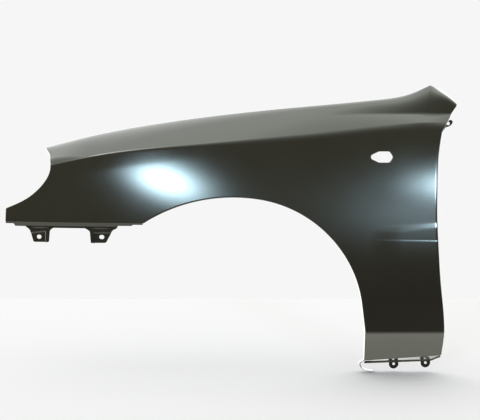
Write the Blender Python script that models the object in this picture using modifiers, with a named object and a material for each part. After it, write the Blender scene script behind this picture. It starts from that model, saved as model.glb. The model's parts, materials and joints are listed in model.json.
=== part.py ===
# Left front car fender, one deep-drawn sheet-steel stamping.
# Sizes are in millimetres from the wheel's centre: x to the rear, y inboard, z up.
# The finished panel is in metres, with its origin on the underside of a hood bolt pad.
import math

import bmesh
import bpy
import numpy as np

MM = 0.001
NAME = "fender_panel"

# Sheet and bends
SHEET = 0.8
BEND = 2.5
HOOD_BEND = 3.5
SHORTEST_FLANGE = 1.2
CORNER_TAPER = 30.0

# Side panel: how far it lies inboard of the outermost plane
SWEEP_START_X = 100.0
NOSE_SWEEP = 155.4
NOSE_SWEEP_POWER = 2.3
DOOR_TUCK = 4.0
WIDEST_Z = 180.0
CROWN_HEIGHT = 300.0
CROWN = 30.0

# Crease from the headlamp to the door (x, z), and the hood line above it (x, y, z)
CREASE = ((-491.0, 389.5), (-372.0, 414.5), (-254.0, 430.5), (-100.0, 443.5), (53.0, 456.0), (205.0, 469.0),
          (357.0, 484.0), (519.0, 492.5))
HOOD_LINE = ((-523.0, 215.0, 435.5), (-386.0, 202.5, 469.0), (-225.0, 185.0, 498.0), (15.0, 167.0, 528.5),
             (252.0, 152.0, 551.0), (370.0, 145.0, 562.5), (448.0, 140.5, 576.5), (500.0, 137.5, 599.0))
PILLAR_TIP = (566.5, 135.0, 554.0)
PILLAR_EDGE_CROWN = 5.0

# Shoulder section between the crease and the hood line (y and z)
FACET_HEIGHT = 4.0
FACET_HEIGHT_FRONT = 18.0
FACET_TAPER = 121.0
FACET_RUN = 0.9
SHOULDER_FULLNESS = (0.62, 0.76)
CONCAVE_X = (30.0, 500.0)
CONCAVE_START = (226.0, 98.0, 517.0)
CONCAVE_END = (545.0, 95.0, 526.0)
BAND_CROWN = 3.0
WALL_LEAN = 8.0
WALL_TOP_DROP = 3.0

# Front tip, the bottom edge's rise per length, and the headlamp cut-out (x, z)
TIP_BOTTOM = (-622.0, 238.5)
BOTTOM_SLOPE = 0.0116
TIP_TOP = (-619.0, 276.0)
LAMP_CUT = ((-575.5, 294.5), (-538.0, 318.5), (-508.0, 350.0), (-494.5, 381.5), (-496.5, 403.0),
            (-505.0, 420.0))
LAMP_FLANGE = 11.0

# Wheel arch: its centre (x, z), a circle, a flatter arc before it, a straight leg behind it
ARCH_CENTRE = (1.5, -4.0)
ARCH_RADIUS = 313.5
ARCH_FRONT_RADIUS = 423.5
ARCH_FRONT_JOIN = math.radians(8.8)
ARCH_LEG_JOIN = math.radians(82.5)
ARCH_FLANGE = 22.0

# Rear edge along the door (x, z) and its flange
DOOR_EDGE = ((522.0, -100.5), (524.0, -30.0), (512.0, 89.0), (505.0, 178.0), (501.0, 267.0), (501.5, 330.0),
             (504.5, 405.0), (511.5, 456.0), (519.0, 492.5))
DOOR_FLANGE = 12.0

# Sill band below the wheel arch: its crease, its front end's height and lean
SILL_CREASE_Z = -30.0
SILL_FRONT_Z = -115.0
SILL_FRONT_LEAN = 2.0
SILL_SLOPE = 0.5
SILL_SOFTNESS = 8.0
SILL_FLANGE_RUN = 24.0
SILL_FLANGE_DROP = (8.0, 15.0)
SILL_LIP = 1.5

# Two-line crease at the door edge: heights of its lines at its front end and at the door
SPEAR_X = (332.0, 470.0)
SPEAR_UPPER_Z = (227.0, 243.0)
SPEAR_LOWER_Z = (204.0, 202.0)
SPEAR_UPPER_STEP = 4.0
SPEAR_UPPER_WIDTH = 13.0
SPEAR_LOWER_STEP = 2.0
SPEAR_LOWER_WIDTH = 4.0

# Side marker lamp hole
LAMP_HOLE_CENTRE = (361.5, 413.0)
LAMP_HOLE_LENGTH = 56.0
LAMP_HOLE_HEIGHT = 28.0
LAMP_HOLE_FLAT = (-8.0, 19.0)
LAMP_HOLE_CORNER = 6.0

# Bumper flange: a sloped wall from the bottom edge, then a lip that carries two tabs
BUMPER_FRONT_GAP = 29.0
BUMPER_REAR_GAP = 29.5
BUMPER_WALL_SLOPE = math.radians(53.0)
BUMPER_WALL = 10.0
BUMPER_WALL_REAR = 5.0
BUMPER_LIP = 4.5
TAB_LENGTH = 38.0
TAB_NECK = 11.0
TAB_CORNER = 3.5
SEAT_DEPTH = 4.0
SEAT_WALL = 3.0

# Each tab: root, neck and tip (x, from the panel's tip for the front tab, from the wheel arch for the rear),
# columns and seat as fractions of the root, drops of the seat's top wall, hole (x, drop below the root)
FRONT_TAB = {"root": (62.0, 137.0), "neck": (72.0, 126.5), "tip": (80.0, 124.0),
             "columns": (0.0, 0.25, 0.5, 0.75, 0.81, 1.0), "seat": (0.0, 0.75), "top": (13.0, 6.5),
             "hole": (96.0, 24.0)}
REAR_TAB = {"root": (-153.5, -68.5), "neck": (-139.5, -82.5), "tip": (-137.5, -97.5),
            "columns": (0.0, 0.17, 0.23, 0.48, 0.74, 1.0), "seat": (0.23, 1.0), "top": (10.5, 10.0),
            "hole": (-108.5, 22.0)}
TAB_HOLE = (14.0, 10.5)

# Hood flange with its bolt pads
HOOD_FLANGE = 24.0
HOOD_FLANGE_FADE = 70.0
PILLAR_RETURN = 9.0
HOOD_DROP = 15.0
PAD_X = (-430.0, -170.0, 90.0, 350.0)
PAD_HALF_LENGTH = 34.0
PAD_HOLE_INSET = 19.0
PAD_HOLE = 9.0
ORIGIN_PAD_X = PAD_X[2]
ORIGIN_PAD_HOLE = 7.0
ORIGIN_PAD_SPACING = 30.0

# Ears: the sill's lie ahead of the door, and the pillar's below the crease's rear end
EAR_RADIUS = 12.5
EAR_REACH = 4.0
EAR_HOLE = 7.0
EAR_FROM_DOOR = (120.0, 36.0)
RELIEF = (12.0, 3.0)
PILLAR_EAR_DROP = (26.5, 3.5)
PILLAR_EAR_INSET = 36.0
PILLAR_EAR_RADIUS = 11.0
PILLAR_EAR_REACH = 13.0
PILLAR_EAR_RISE = 30.0
PILLAR_EAR_HOLE = 9.0

# Curl at the lower end of the arch flange: steps in x and z
CURL = ((-7.0, -4.0), (-12.0, -9.0), (-10.0, -17.0), (-2.0, -24.0), (10.0, -28.0), (24.0, -29.0))

# Cells of the drawn surface, its lean from the wheel arch's two ends to the crease, the crease's share
# ahead of the peak
ARCH_CELLS = 25
ARCH_LEANS = (-22.0, 62.0)
PEAK_SHARE = 0.94
SILL_ROWS = (0.0, 0.037, 0.1, 0.2, 0.46, 0.76, 1.0)
BAND_STEPS = (0.35, 0.7, 1.0)
WALL_STEPS = (0.2, 0.45, 0.7, 0.87, 1.0)
LOWER_ROWS = (0.0, 0.06)
UPPER_ROWS = (0.27, 0.36, 0.437, 0.451, 0.512, 0.538, 0.62, 0.71, 0.80, 0.88)
BEND_CELLS = 2

CUTTER_REACH = 5.0
INBOARD = np.array((0.0, 1.0, 0.0))
DOWN = np.array((0.0, 0.0, -1.0))
REARWARD = np.array((1.0, 0.0, 0.0))


def unit(vectors):
    return vectors / np.linalg.norm(vectors, axis=-1, keepdims=True)


def blend(value, start, end):
    """Zero at start, one at end, with an even ease between them."""
    t = np.clip((value - start) / (end - start), 0.0, 1.0)
    return t * t * (3.0 - 2.0 * t)


def mix(a, b, t):
    return a + (b - a) * t


def smooth_curve(points):
    """A curve of even curvature through points, given as (abscissa, ordinate)."""
    x, y = np.array(points, dtype=float).T
    gap = np.diff(x)
    slope = np.diff(y) / gap
    size = len(x)
    system = np.eye(size)
    load = np.zeros(size)
    for k in range(1, size - 1):
        system[k, k - 1:k + 2] = gap[k - 1], 2.0 * (gap[k - 1] + gap[k]), gap[k]
        load[k] = 6.0 * (slope[k] - slope[k - 1])
    bend = np.linalg.solve(system, load)

    def height(at):
        k = np.clip(np.searchsorted(x, at) - 1, 0, size - 2)
        a = x[k + 1] - at
        b = at - x[k]
        cubic = (bend[k] * a ** 3 + bend[k + 1] * b ** 3) / (6.0 * gap[k])
        return (cubic + (y[k] / gap[k] - bend[k] * gap[k] / 6.0) * a
                + (y[k + 1] / gap[k] - bend[k + 1] * gap[k] / 6.0) * b)

    return height


crease_height = smooth_curve(CREASE)
hood_height = smooth_curve([(x, z) for x, y, z in HOOD_LINE])
hood_depth = smooth_curve([(x, y) for x, y, z in HOOD_LINE])
door_edge = smooth_curve([(z, x) for x, z in DOOR_EDGE])
lamp_edge = smooth_curve([(z, x) for x, z in (TIP_TOP,) + LAMP_CUT + ((HOOD_LINE[0][0], HOOD_LINE[0][2]),)])


def side_depth(x, z):
    """Depth of the side panel: nose sweep, door tuck, upright crown and the two-line crease."""
    nose = np.clip((SWEEP_START_X - x) / (SWEEP_START_X - TIP_BOTTOM[0]), 0.0, None)
    door = np.clip((x - SWEEP_START_X) / (DOOR_EDGE[-1][0] - SWEEP_START_X), 0.0, None)
    crown = (z - WIDEST_Z) / CROWN_HEIGHT
    depth = NOSE_SWEEP * nose ** NOSE_SWEEP_POWER + DOOR_TUCK * door ** 2 + CROWN * crown ** 2
    along = (x - SPEAR_X[0]) / (SPEAR_X[1] - SPEAR_X[0])
    upper = mix(*SPEAR_UPPER_Z, along)
    lower = mix(*SPEAR_LOWER_Z, along)
    step = SPEAR_UPPER_STEP * blend(-z, -upper - SPEAR_UPPER_WIDTH / 2, -upper + SPEAR_UPPER_WIDTH / 2)
    step += SPEAR_LOWER_STEP * blend(-z, -lower - SPEAR_LOWER_WIDTH / 2, -lower + SPEAR_LOWER_WIDTH / 2)
    return depth - step * blend(x, *SPEAR_X) * blend(z, SILL_CREASE_Z, SPEAR_LOWER_Z[1])


def bottom_edge(x):
    """Height of the bottom edge between the front tip and the wheel arch, where its bend begins."""
    return TIP_BOTTOM[1] + BOTTOM_SLOPE * (x - TIP_BOTTOM[0]) + BEND


def arch_corners():
    """Centre of the flatter arc, its start angle at the bottom edge, and the foot of the leg."""
    apart = ARCH_FRONT_RADIUS - ARCH_RADIUS
    middle = np.array(ARCH_CENTRE)
    centre = middle - apart * np.array((math.sin(ARCH_FRONT_JOIN), math.cos(ARCH_FRONT_JOIN)))
    radius = ARCH_FRONT_RADIUS + BEND
    x = -ARCH_RADIUS
    for _ in range(20):
        x = centre[0] - math.sqrt(radius ** 2 - (bottom_edge(x) - centre[1]) ** 2)
    start = math.atan2(x - centre[0], bottom_edge(x) - centre[1])
    join = middle + (ARCH_RADIUS + BEND) * np.array((math.sin(ARCH_LEG_JOIN), math.cos(ARCH_LEG_JOIN)))
    fall = (join[1] - SILL_CREASE_Z) / math.sin(ARCH_LEG_JOIN)
    foot = join + fall * np.array((math.cos(ARCH_LEG_JOIN), -math.sin(ARCH_LEG_JOIN)))
    return centre, start, join, foot


def moved_tab(tab, start):
    """A tab's stations, moved from their own start to the panel's."""
    moved = dict(tab)
    for key in ("root", "neck", "tip"):
        moved[key] = tuple(start + x for x in tab[key])
    moved["hole"] = (start + tab["hole"][0], tab["hole"][1])
    return moved


def bumper_stations():
    """The bumper flange's two ends and its two tabs, set out from the tip and from the wheel arch."""
    corner = arch_edge(ARCH_CELLS)[0, 0]
    ends = (TIP_BOTTOM[0] + BUMPER_FRONT_GAP, corner - BUMPER_REAR_GAP)
    return ends, moved_tab(FRONT_TAB, TIP_BOTTOM[0]), moved_tab(REAR_TAB, corner)


def arch_edge(cells):
    """Points spaced evenly from the bottom edge over the wheel to the sill crease."""
    centre, start, join, foot = arch_corners()
    front_radius = ARCH_FRONT_RADIUS + BEND
    front = front_radius * (ARCH_FRONT_JOIN - start)
    round_top = (ARCH_RADIUS + BEND) * (ARCH_LEG_JOIN - ARCH_FRONT_JOIN)
    leg = np.linalg.norm(foot - join)
    along = np.linspace(0.0, front + round_top + leg, cells + 1)
    front_angle = start + along / front_radius
    top_angle = ARCH_FRONT_JOIN + (along - front) / (ARCH_RADIUS + BEND)
    on_front = centre + front_radius * np.stack((np.sin(front_angle), np.cos(front_angle)), axis=1)
    on_top = (ARCH_RADIUS + BEND) * np.stack((np.sin(top_angle), np.cos(top_angle)), axis=1)
    on_top += np.array(ARCH_CENTRE)
    on_leg = join + (foot - join) * ((along - front - round_top) / leg)[:, None]
    points = np.where((along <= front)[:, None], on_front, on_top)
    return np.where((along <= front + round_top)[:, None], points, on_leg)


def lamp_side():
    """The headlamp cut-out moved into the panel by one bend, as a dense line from tip to hood."""
    z = np.linspace(TIP_TOP[1], HOOD_LINE[0][2], 400)
    line = np.stack((lamp_edge(z), z), axis=1)
    along = unit(np.gradient(line, axis=0))
    return line + BEND * np.stack((along[:, 1], -along[:, 0]), axis=1)


def at_fractions(line, fractions):
    """Points of a dense line at fractions of its length."""
    steps = np.linalg.norm(np.diff(line, axis=0), axis=1)
    length = np.concatenate(([0.0], np.cumsum(steps)))
    return np.stack([np.interp(fractions * length[-1], length, line[:, k]) for k in range(2)], axis=1)


def sill_ears():
    return [DOOR_EDGE[0][0] - ahead for ahead in EAR_FROM_DOOR]


def bottom_columns():
    """Stations along the bottom of the side panel, and the stations where its three parts meet."""
    def spread(start, end, cells):
        return list(np.linspace(start, end, cells + 1)[:-1])

    def tab_columns(tab):
        left, right = tab["root"]
        return [mix(left, right, f) for f in tab["columns"][:-1]]

    (first, last), front_tab, rear_tab = bumper_stations()
    step = SHORTEST_FLANGE + BEND
    front = [TIP_BOTTOM[0] + BEND, first - step, first, front_tab["root"][0] - step] + tab_columns(front_tab)
    front += spread(front_tab["root"][1], rear_tab["root"][0], 4)
    front += tab_columns(rear_tab) + [rear_tab["root"][1], rear_tab["root"][1] + step]
    front += [last, last + step]
    arch = arch_edge(ARCH_CELLS)
    foot = arch[-1]
    sill = []
    for centre in sill_ears():
        sill += [centre - EAR_RADIUS, centre, centre + EAR_RADIUS]
    rear = float(door_edge(SILL_CREASE_Z)) - BEND
    sill = spread(foot[0], sill[0], 3)[1:] + sill[:3] + spread(sill[2], sill[3], 2)[1:] + sill[3:] + [rear]
    line = [(x, bottom_edge(x)) for x in front] + list(arch) + [(x, SILL_CREASE_Z) for x in sill]
    return np.array(line), len(front), len(front) + ARCH_CELLS


def side_patch():
    """The side panel: a sheet stretched between its bottom, crease, front and door edges."""
    bottom, arch_start, sill_start = bottom_columns()
    lamp = lamp_side()
    above = lamp[:, 1] - crease_height(lamp[:, 0])
    meet = int(np.argmax(above > 0.0))
    part = lamp[:meet + 1]
    tip = np.array((TIP_BOTTOM[0] + BEND, bottom_edge(TIP_BOTTOM[0] + BEND)))
    left_line = np.concatenate((tip[None], part))
    tip_row = np.linalg.norm(part[0] - tip) / np.sum(np.linalg.norm(np.diff(left_line, axis=0), axis=1))
    top_z = float(crease_height(door_edge(CREASE[-1][1])))
    rise = top_z - SILL_CREASE_Z
    ear_rows = tuple(1.0 - drop / rise for drop in (PILLAR_EAR_DROP[0], sum(PILLAR_EAR_DROP) / 2))
    v = np.array(LOWER_ROWS + (tip_row,) + UPPER_ROWS + ear_rows + (1.0,))
    left = at_fractions(left_line, v)
    right_z = mix(SILL_CREASE_Z, top_z, v)
    right = np.stack((door_edge(right_z) - BEND, right_z), axis=1)

    over_arch = [bottom[k, 0] + lean for k, lean in zip((arch_start, sill_start), ARCH_LEANS)]
    crease_x = np.interp(np.arange(len(bottom)), (0, arch_start, sill_start, len(bottom) - 1),
                         (left[-1, 0], *over_arch, right[-1, 0]))
    top = np.stack((crease_x, crease_height(crease_x)), axis=1)
    top[0] = left[-1]
    top[-1] = right[-1]
    u = ((crease_x - crease_x[0]) / (crease_x[-1] - crease_x[0]))[None, :, None]
    v = v[:, None, None]
    flat = (1 - v) * bottom + v * top + (1 - u) * left[:, None] + u * right[:, None]
    flat -= (1 - u) * (1 - v) * bottom[0] + u * (1 - v) * bottom[-1] + (1 - u) * v * top[0] + u * v * top[-1]
    x, z = flat[..., 0], flat[..., 1]
    return np.stack((x, side_depth(x, z), z), axis=-1), u[0, :, 0], arch_start, sill_start


def quadratic(start, control, end, t):
    return (1 - t) ** 2 * start + 2 * t * (1 - t) * control + t ** 2 * end


def shoulder_patch(crease, u):
    """Sections from the crease to the hood line: a narrow facet, then a crowned or a stepped shoulder."""
    peak = int(np.argmin(np.abs(crease[:, 0] - mix(crease[0, 0], crease[-1, 0], PEAK_SHARE))))
    count = len(crease)
    lamp = lamp_side()
    front_x = lamp[-1, 0]
    run = np.interp(crease[:, 0], (crease[0, 0], crease[peak, 0]), (front_x, HOOD_LINE[-1][0]))
    hood = np.stack((run, hood_depth(run), hood_height(run)), axis=1)
    tail = np.linspace(0.0, 1.0, count - peak)[:, None]
    end = np.array(PILLAR_TIP) - BEND * REARWARD
    crown = PILLAR_EDGE_CROWN * 4.0 * tail * (1.0 - tail) * np.array((0.6, 0.0, 0.8))
    hood[peak:] = mix(hood[peak], end, tail) + crown

    low = crease[:, 1:]
    high = hood[:, 1:]
    from_front = blend(-crease[:, 0], -CREASE[0][0] - FACET_TAPER, -CREASE[0][0])
    height = mix(FACET_HEIGHT, FACET_HEIGHT_FRONT, from_front)
    facet = low + np.stack((height * FACET_RUN, height), axis=1)
    control = facet + (high - facet) * np.array(SHOULDER_FULLNESS)
    band_control = (facet + control) / 2
    wall_control = (control + high) / 2
    middle = (band_control + wall_control) / 2

    share = blend(crease[:, 0], *CONCAVE_X)[:, None]
    along = ((crease[:, 0] - CONCAVE_START[0]) / (CONCAVE_END[0] - CONCAVE_START[0]))[:, None]
    valley = mix(np.array(CONCAVE_START[1:]), np.array(CONCAVE_END[1:]), along)
    middle = mix(middle, valley, share)
    stepped_band = (facet + middle) / 2 + BAND_CROWN * np.array((-0.5, 0.85))
    stepped_wall = np.stack((middle[:, 0] + WALL_LEAN, high[:, 1] - WALL_TOP_DROP), axis=1)
    band_control = mix(band_control, stepped_band, share)
    wall_control = mix(wall_control, stepped_wall, share)

    rows = [facet]
    rows += [quadratic(facet, band_control, middle, t) for t in BAND_STEPS]
    rows += [quadratic(middle, wall_control, high, t) for t in WALL_STEPS]
    section = np.stack(rows)
    share_up = (section[..., 1] - low[:, 1]) / (high[:, 1] - low[:, 1])
    x = mix(crease[:, 0], hood[:, 0], share_up)
    at_front = np.interp(section[:, 0, 1], lamp[:, 1], lamp[:, 0]) - x[:, 0]
    x += at_front[:, None] * (1 - u) ** 4
    return np.concatenate((x[..., None], section), axis=-1)


def sill_patch(crease):
    """The band under the sill crease, which tucks inboard with a soft start."""
    drops = np.array(SILL_ROWS)
    front_z = SILL_FRONT_Z + BEND
    rear_z = DOOR_EDGE[0][1] + BEND
    share = (crease[:, 0] - crease[0, 0]) / (crease[-1, 0] - crease[0, 0])
    depth = (SILL_CREASE_Z - mix(front_z, rear_z, share)) * drops[:, None]
    z = SILL_CREASE_Z - depth
    left = (crease[0, 0] + SILL_FRONT_LEAN * drops)[:, None]
    right = door_edge(z[:, -1])[:, None] - BEND
    x = mix(left, right, share)
    slope = 2.0 * CROWN * (WIDEST_Z - SILL_CREASE_Z) / CROWN_HEIGHT ** 2
    soft = np.hypot(depth, SILL_SOFTNESS) - SILL_SOFTNESS
    y = side_depth(x, np.full_like(z, SILL_CREASE_Z)) + slope * depth + (SILL_SLOPE - slope) * soft
    return np.stack((x, y, z), axis=-1)


def leaving(edge, inner):
    """Directions that lie in the sheet and leave it square to its edge."""
    along = unit(np.gradient(edge, axis=0))
    out = edge - inner
    return unit(out - np.sum(out * along, axis=1, keepdims=True) * along)


def inward(grid):
    """Directions square to the sheet, to its hidden side."""
    return -unit(np.cross(np.gradient(grid, axis=1), np.gradient(grid, axis=0)))


def fold(edge, direction, turns):
    """Rows grown from an edge: each turn bends the sheet to a new direction and runs straight on."""
    rows = [edge]
    for toward, radius, length, cells in turns:
        toward = unit(np.broadcast_to(toward, edge.shape))
        cosine = np.clip(np.sum(direction * toward, axis=1, keepdims=True), -1.0, 1.0)
        angle = np.arccos(cosine)
        if radius > 0.0:
            aside = unit(toward - cosine * direction)
            base = rows[-1]
            for k in range(1, BEND_CELLS + 1):
                a = angle * k / BEND_CELLS
                rows.append(base + radius * (np.sin(a) * direction + (1.0 - np.cos(a)) * aside))
        base = rows[-1]
        reach = np.reshape(np.broadcast_to(length, len(edge)), (-1, 1))
        for k in range(1, cells + 1):
            rows.append(base + toward * reach * k / cells)
        direction = toward
    return np.stack(rows)


def tapered(edge, length, at_start=True, at_end=True):
    """Flange lengths that shrink towards the ends of an edge, to leave its corners open."""
    steps = np.linalg.norm(np.diff(edge, axis=0), axis=1)
    run = np.concatenate(([0.0], np.cumsum(steps)))
    share = np.ones(len(edge))
    if at_start:
        share = share * blend(run, 0.0, CORNER_TAPER)
    if at_end:
        share = share * blend(run[-1] - run, 0.0, CORNER_TAPER)
    return mix(SHORTEST_FLANGE, length, share)


def door_flange_lengths(edge, ear_rows, crease_row):
    """Return flange at the door: long where it carries the pillar ear, short over the ear itself."""
    length = tapered(edge, DOOR_FLANGE)
    length[ear_rows] = PILLAR_EAR_INSET
    over_ear = edge[:, 1] < edge[crease_row, 1] + PILLAR_EAR_INSET
    length[(np.arange(len(edge)) >= crease_row) & over_ear] = SHORTEST_FLANGE
    return length


def ear(root, toward, reach, radius, rise=0.0):
    """A round-ended ear from a straight root: its sides ease from the root to the round end."""
    across = unit(root[-1] - root[0])
    centre = (root[0] + root[-1]) / 2
    half_root = np.linalg.norm(root[-1] - root[0]) / 2
    spread = np.linspace(-1.0, 1.0, len(root))[:, None]
    rows = [root]
    for t in (0.35, 0.7, 1.0):
        ease = blend(t, 0.0, 1.0)
        middle = centre + toward * reach * t + across * rise * ease
        rows.append(middle + across * spread * mix(half_root, radius, ease))
    for t in (0.35, 0.65, 0.87, 0.98):
        middle = centre + toward * (reach + radius * t) + across * rise
        rows.append(middle + across * spread * radius * math.sqrt(1.0 - t * t))
    return np.stack(rows), centre + toward * reach + across * rise


def bumper_tab(root, tab):
    """A tapered tab with a stepped seat, flat but for the seat's walls."""
    left, right = tab["root"]
    share = (root[:, 0] - left) / (right - left)
    slope = (root[-1, 1] - root[0, 1]) / (root[-1, 0] - root[0, 0])
    on_seat = ((share > tab["seat"][0] - 0.01) & (share < tab["seat"][1] + 0.01)).astype(float)
    top = mix(*tab["top"], share)
    below = top + SEAT_WALL
    last = TAB_LENGTH - TAB_CORNER
    drops = [top * 0.35, top * 0.7, top, below, mix(below, last, 0.4), mix(below, last, 0.75),
             np.full_like(top, last), np.full_like(top, TAB_LENGTH)]
    rows = [root]
    for k, drop in enumerate(drops):
        flare = np.clip(1.0 - drop / TAB_NECK, 0.0, None) ** 2
        taper = np.clip((drop - TAB_NECK) / (TAB_LENGTH - TAB_NECK), 0.0, None)
        narrow = TAB_CORNER if k == len(drops) - 1 else 0.0
        low = mix(tab["neck"][0], tab["tip"][0], taper) + flare * (left - tab["neck"][0]) + narrow
        high = mix(tab["neck"][1], tab["tip"][1], taper) + flare * (right - tab["neck"][1]) - narrow
        x = mix(low, high, share)
        seat = SEAT_DEPTH * on_seat * (k >= 3)
        y = root[0, 1] + slope * (x - left) + seat
        rows.append(np.stack((x, y, root[:, 2] - drop), axis=1))
    hole_x, hole_drop = tab["hole"]
    hole = np.array((hole_x, root[0, 1] + slope * (hole_x - left) + SEAT_DEPTH, root[0, 2] - hole_drop))
    return np.stack(rows), hole, unit(np.array((slope, -1.0, 0.0)))


def pad_height(x):
    """Height of the hood flange: flat at each bolt pad, sloped between pads."""
    knots = [(HOOD_LINE[0][0], hood_height(HOOD_LINE[0][0]) - HOOD_DROP)]
    for station in PAD_X:
        level = hood_height(station) - HOOD_DROP
        knots += [(station - PAD_HALF_LENGTH, level), (station + PAD_HALF_LENGTH, level)]
    knots.append((HOOD_LINE[-1][0], hood_height(HOOD_LINE[-1][0]) - HOOD_DROP))
    return np.interp(x, *np.array(knots, dtype=float).T)


def hood_flange(edge, direction):
    """A wall down from the hood line and a flange inboard with flat bolt pads, then the pillar's return."""
    over = fold(edge, direction, [(DOWN, HOOD_BEND, 0.0, 0)])
    wall = over[-1][:, 2] - pad_height(edge[:, 0]) - BEND
    peak_x = HOOD_LINE[-1][0]
    start = blend(edge[:, 0], edge[0, 0], edge[0, 0] + CORNER_TAPER)
    share = start * blend(-edge[:, 0], -peak_x, -peak_x + HOOD_FLANGE_FADE)
    returned = blend(edge[:, 0], peak_x, peak_x + CORNER_TAPER)
    returned = returned * blend(-edge[:, 0], -edge[-1, 0], -edge[-1, 0] + CORNER_TAPER)
    wall = mix(SHORTEST_FLANGE, wall, share) + PILLAR_RETURN * returned
    width = mix(SHORTEST_FLANGE, HOOD_FLANGE, share)
    down = np.broadcast_to(DOWN, edge.shape)
    rest = fold(over[-1], down, [(DOWN, 0.0, wall, 1), (INBOARD, BEND, width, 1)])
    return np.concatenate((over, rest[1:]))


def bumper_flange(edge, inner):
    """The sloped wall and lip under the front bottom edge, short outside the tabs' stretch."""
    sloped = math.cos(BUMPER_WALL_SLOPE) * INBOARD + math.sin(BUMPER_WALL_SLOPE) * DOWN
    x = edge[:, 0]
    (first, last), front_tab, rear_tab = bumper_stations()
    lip_start, lip_end = front_tab["root"][0], rear_tab["root"][1]
    full = (x > first - 0.1) & (x < lip_end + 0.1)
    rear = (x > lip_end + 0.1) & (x < last + 0.1)
    wall = np.where(full, BUMPER_WALL, np.where(rear, BUMPER_WALL_REAR, SHORTEST_FLANGE))
    lipped = (x > lip_start - 0.1) & (x < lip_end + 0.1)
    lip = np.where(lipped, BUMPER_LIP, SHORTEST_FLANGE)
    return fold(edge, leaving(edge, inner), [(sloped, BEND, wall, 1), (DOWN, BEND, lip, 1)])


def sill_flange(edge, inner):
    """A flange that runs inboard and down from the sill band to a short upright lip."""
    share = (edge[:, 0] - edge[0, 0]) / (edge[-1, 0] - edge[0, 0])
    drop = mix(*SILL_FLANGE_DROP, share)
    toward = np.stack((0.0 * drop, SILL_FLANGE_RUN + 0.0 * drop, -drop), axis=1)
    reach = np.linalg.norm(toward, axis=1)
    carried = edge[:, 0] < sill_ears()[-1] + EAR_RADIUS + SHORTEST_FLANGE
    reach = np.where(carried, reach, SHORTEST_FLANGE * 3)
    grown = fold(edge, leaving(edge, inner), [(toward, BEND, reach, 1), (DOWN, BEND, SILL_LIP, 1)])
    return grown, unit(toward)


def rounded_outline(corners, radius, cells=4):
    """A polygon with each corner replaced by an arc."""
    points = []
    count = len(corners)
    for k in range(count):
        corner = np.array(corners[k], dtype=float)
        before = unit(np.array(corners[k - 1], dtype=float) - corner)
        after = unit(np.array(corners[(k + 1) % count], dtype=float) - corner)
        half = math.acos(np.clip(np.dot(before, after), -1.0, 1.0)) / 2
        middle = corner + unit(before + after) * radius / math.sin(half)
        start = corner + before * radius / math.tan(half) - middle
        end = corner + after * radius / math.tan(half) - middle
        for t in np.linspace(0.0, 1.0, cells + 1):
            points.append(middle + radius * unit(mix(start, end, t)))
    return points


def slot_outline(length, width, cells=7):
    """Two half circles joined by straight sides."""
    points = []
    for side in (1.0, -1.0):
        for angle in np.linspace(-math.pi / 2, math.pi / 2, cells + 1):
            points.append((side * ((length - width) / 2 + math.cos(angle) * width / 2),
                           side * math.sin(angle) * width / 2))
    return points


def round_outline(diameter, cells=16):
    angles = (np.arange(cells) + 0.5) * 2.0 * math.pi / cells
    return list(zip(np.cos(angles) * diameter / 2, np.sin(angles) * diameter / 2))


def placed(points, origin):
    """From millimetres at the wheel's centre to metres at the panel's origin."""
    return (np.asarray(points, dtype=float) - origin) * MM


def hole_cutter(name, outline, centre, normal, across, origin, collection):
    """A prism on an outline, square to the sheet at a hole."""
    normal = unit(np.asarray(normal, dtype=float))
    across = unit(across - np.dot(across, normal) * normal)
    upward = np.cross(normal, across)
    base = [centre + a * across + b * upward - CUTTER_REACH * normal for a, b in outline]
    bm = bmesh.new()
    face = bm.faces.new([bm.verts.new(p) for p in placed(base, origin)])
    grown = bmesh.ops.extrude_face_region(bm, geom=[face])
    moved = [item for item in grown["geom"] if isinstance(item, bmesh.types.BMVert)]
    bmesh.ops.translate(bm, verts=moved, vec=2.0 * CUTTER_REACH * normal * MM)
    bmesh.ops.recalc_face_normals(bm, faces=bm.faces)
    mesh = bpy.data.meshes.new(name)
    bm.to_mesh(mesh)
    bm.free()
    cutter = bpy.data.objects.new(name, mesh)
    cutter.hide_render = True
    cutter.display_type = "WIRE"
    collection.objects.link(cutter)


def sheet_mesh(grids, origin):
    """One open sheet from all its grids, joined where they share an edge, facing outboard."""
    points = []
    faces = []
    start = 0
    for grid in grids:
        rows, columns = grid.shape[:2]
        index = start + np.arange(rows * columns).reshape(rows, columns)
        corners = (index[:-1, :-1], index[:-1, 1:], index[1:, 1:], index[1:, :-1])
        faces.append(np.stack(corners, axis=-1).reshape(-1, 4))
        points.append(grid.reshape(-1, 3))
        start += rows * columns
    mesh = bpy.data.meshes.new(NAME)
    mesh.from_pydata(placed(np.concatenate(points), origin).tolist(), [], np.concatenate(faces).tolist())
    bm = bmesh.new()
    bm.from_mesh(mesh)
    bmesh.ops.remove_doubles(bm, verts=bm.verts, dist=0.00001)
    bmesh.ops.recalc_face_normals(bm, faces=bm.faces)
    if sum(face.normal.y * face.calc_area() for face in bm.faces) > 0.0:
        bmesh.ops.reverse_faces(bm, faces=bm.faces)
    bm.to_mesh(mesh)
    bm.free()
    return mesh


def coat_material():
    """Black electro-dip primer: satin black under a thin gloss."""
    material = bpy.data.materials.new("e_coat_black")
    material.use_nodes = True
    shader = material.node_tree.nodes["Principled BSDF"]
    shader.inputs["Base Color"].default_value = (0.018, 0.017, 0.015, 1.0)
    shader.inputs["Roughness"].default_value = 0.32
    shader.inputs["Metallic"].default_value = 0.0
    shader.inputs["Coat Weight"].default_value = 0.4
    shader.inputs["Coat Roughness"].default_value = 0.12
    return material


def new_collection(name):
    collection = bpy.data.collections.new(name)
    bpy.context.scene.collection.children.link(collection)
    return collection


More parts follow.
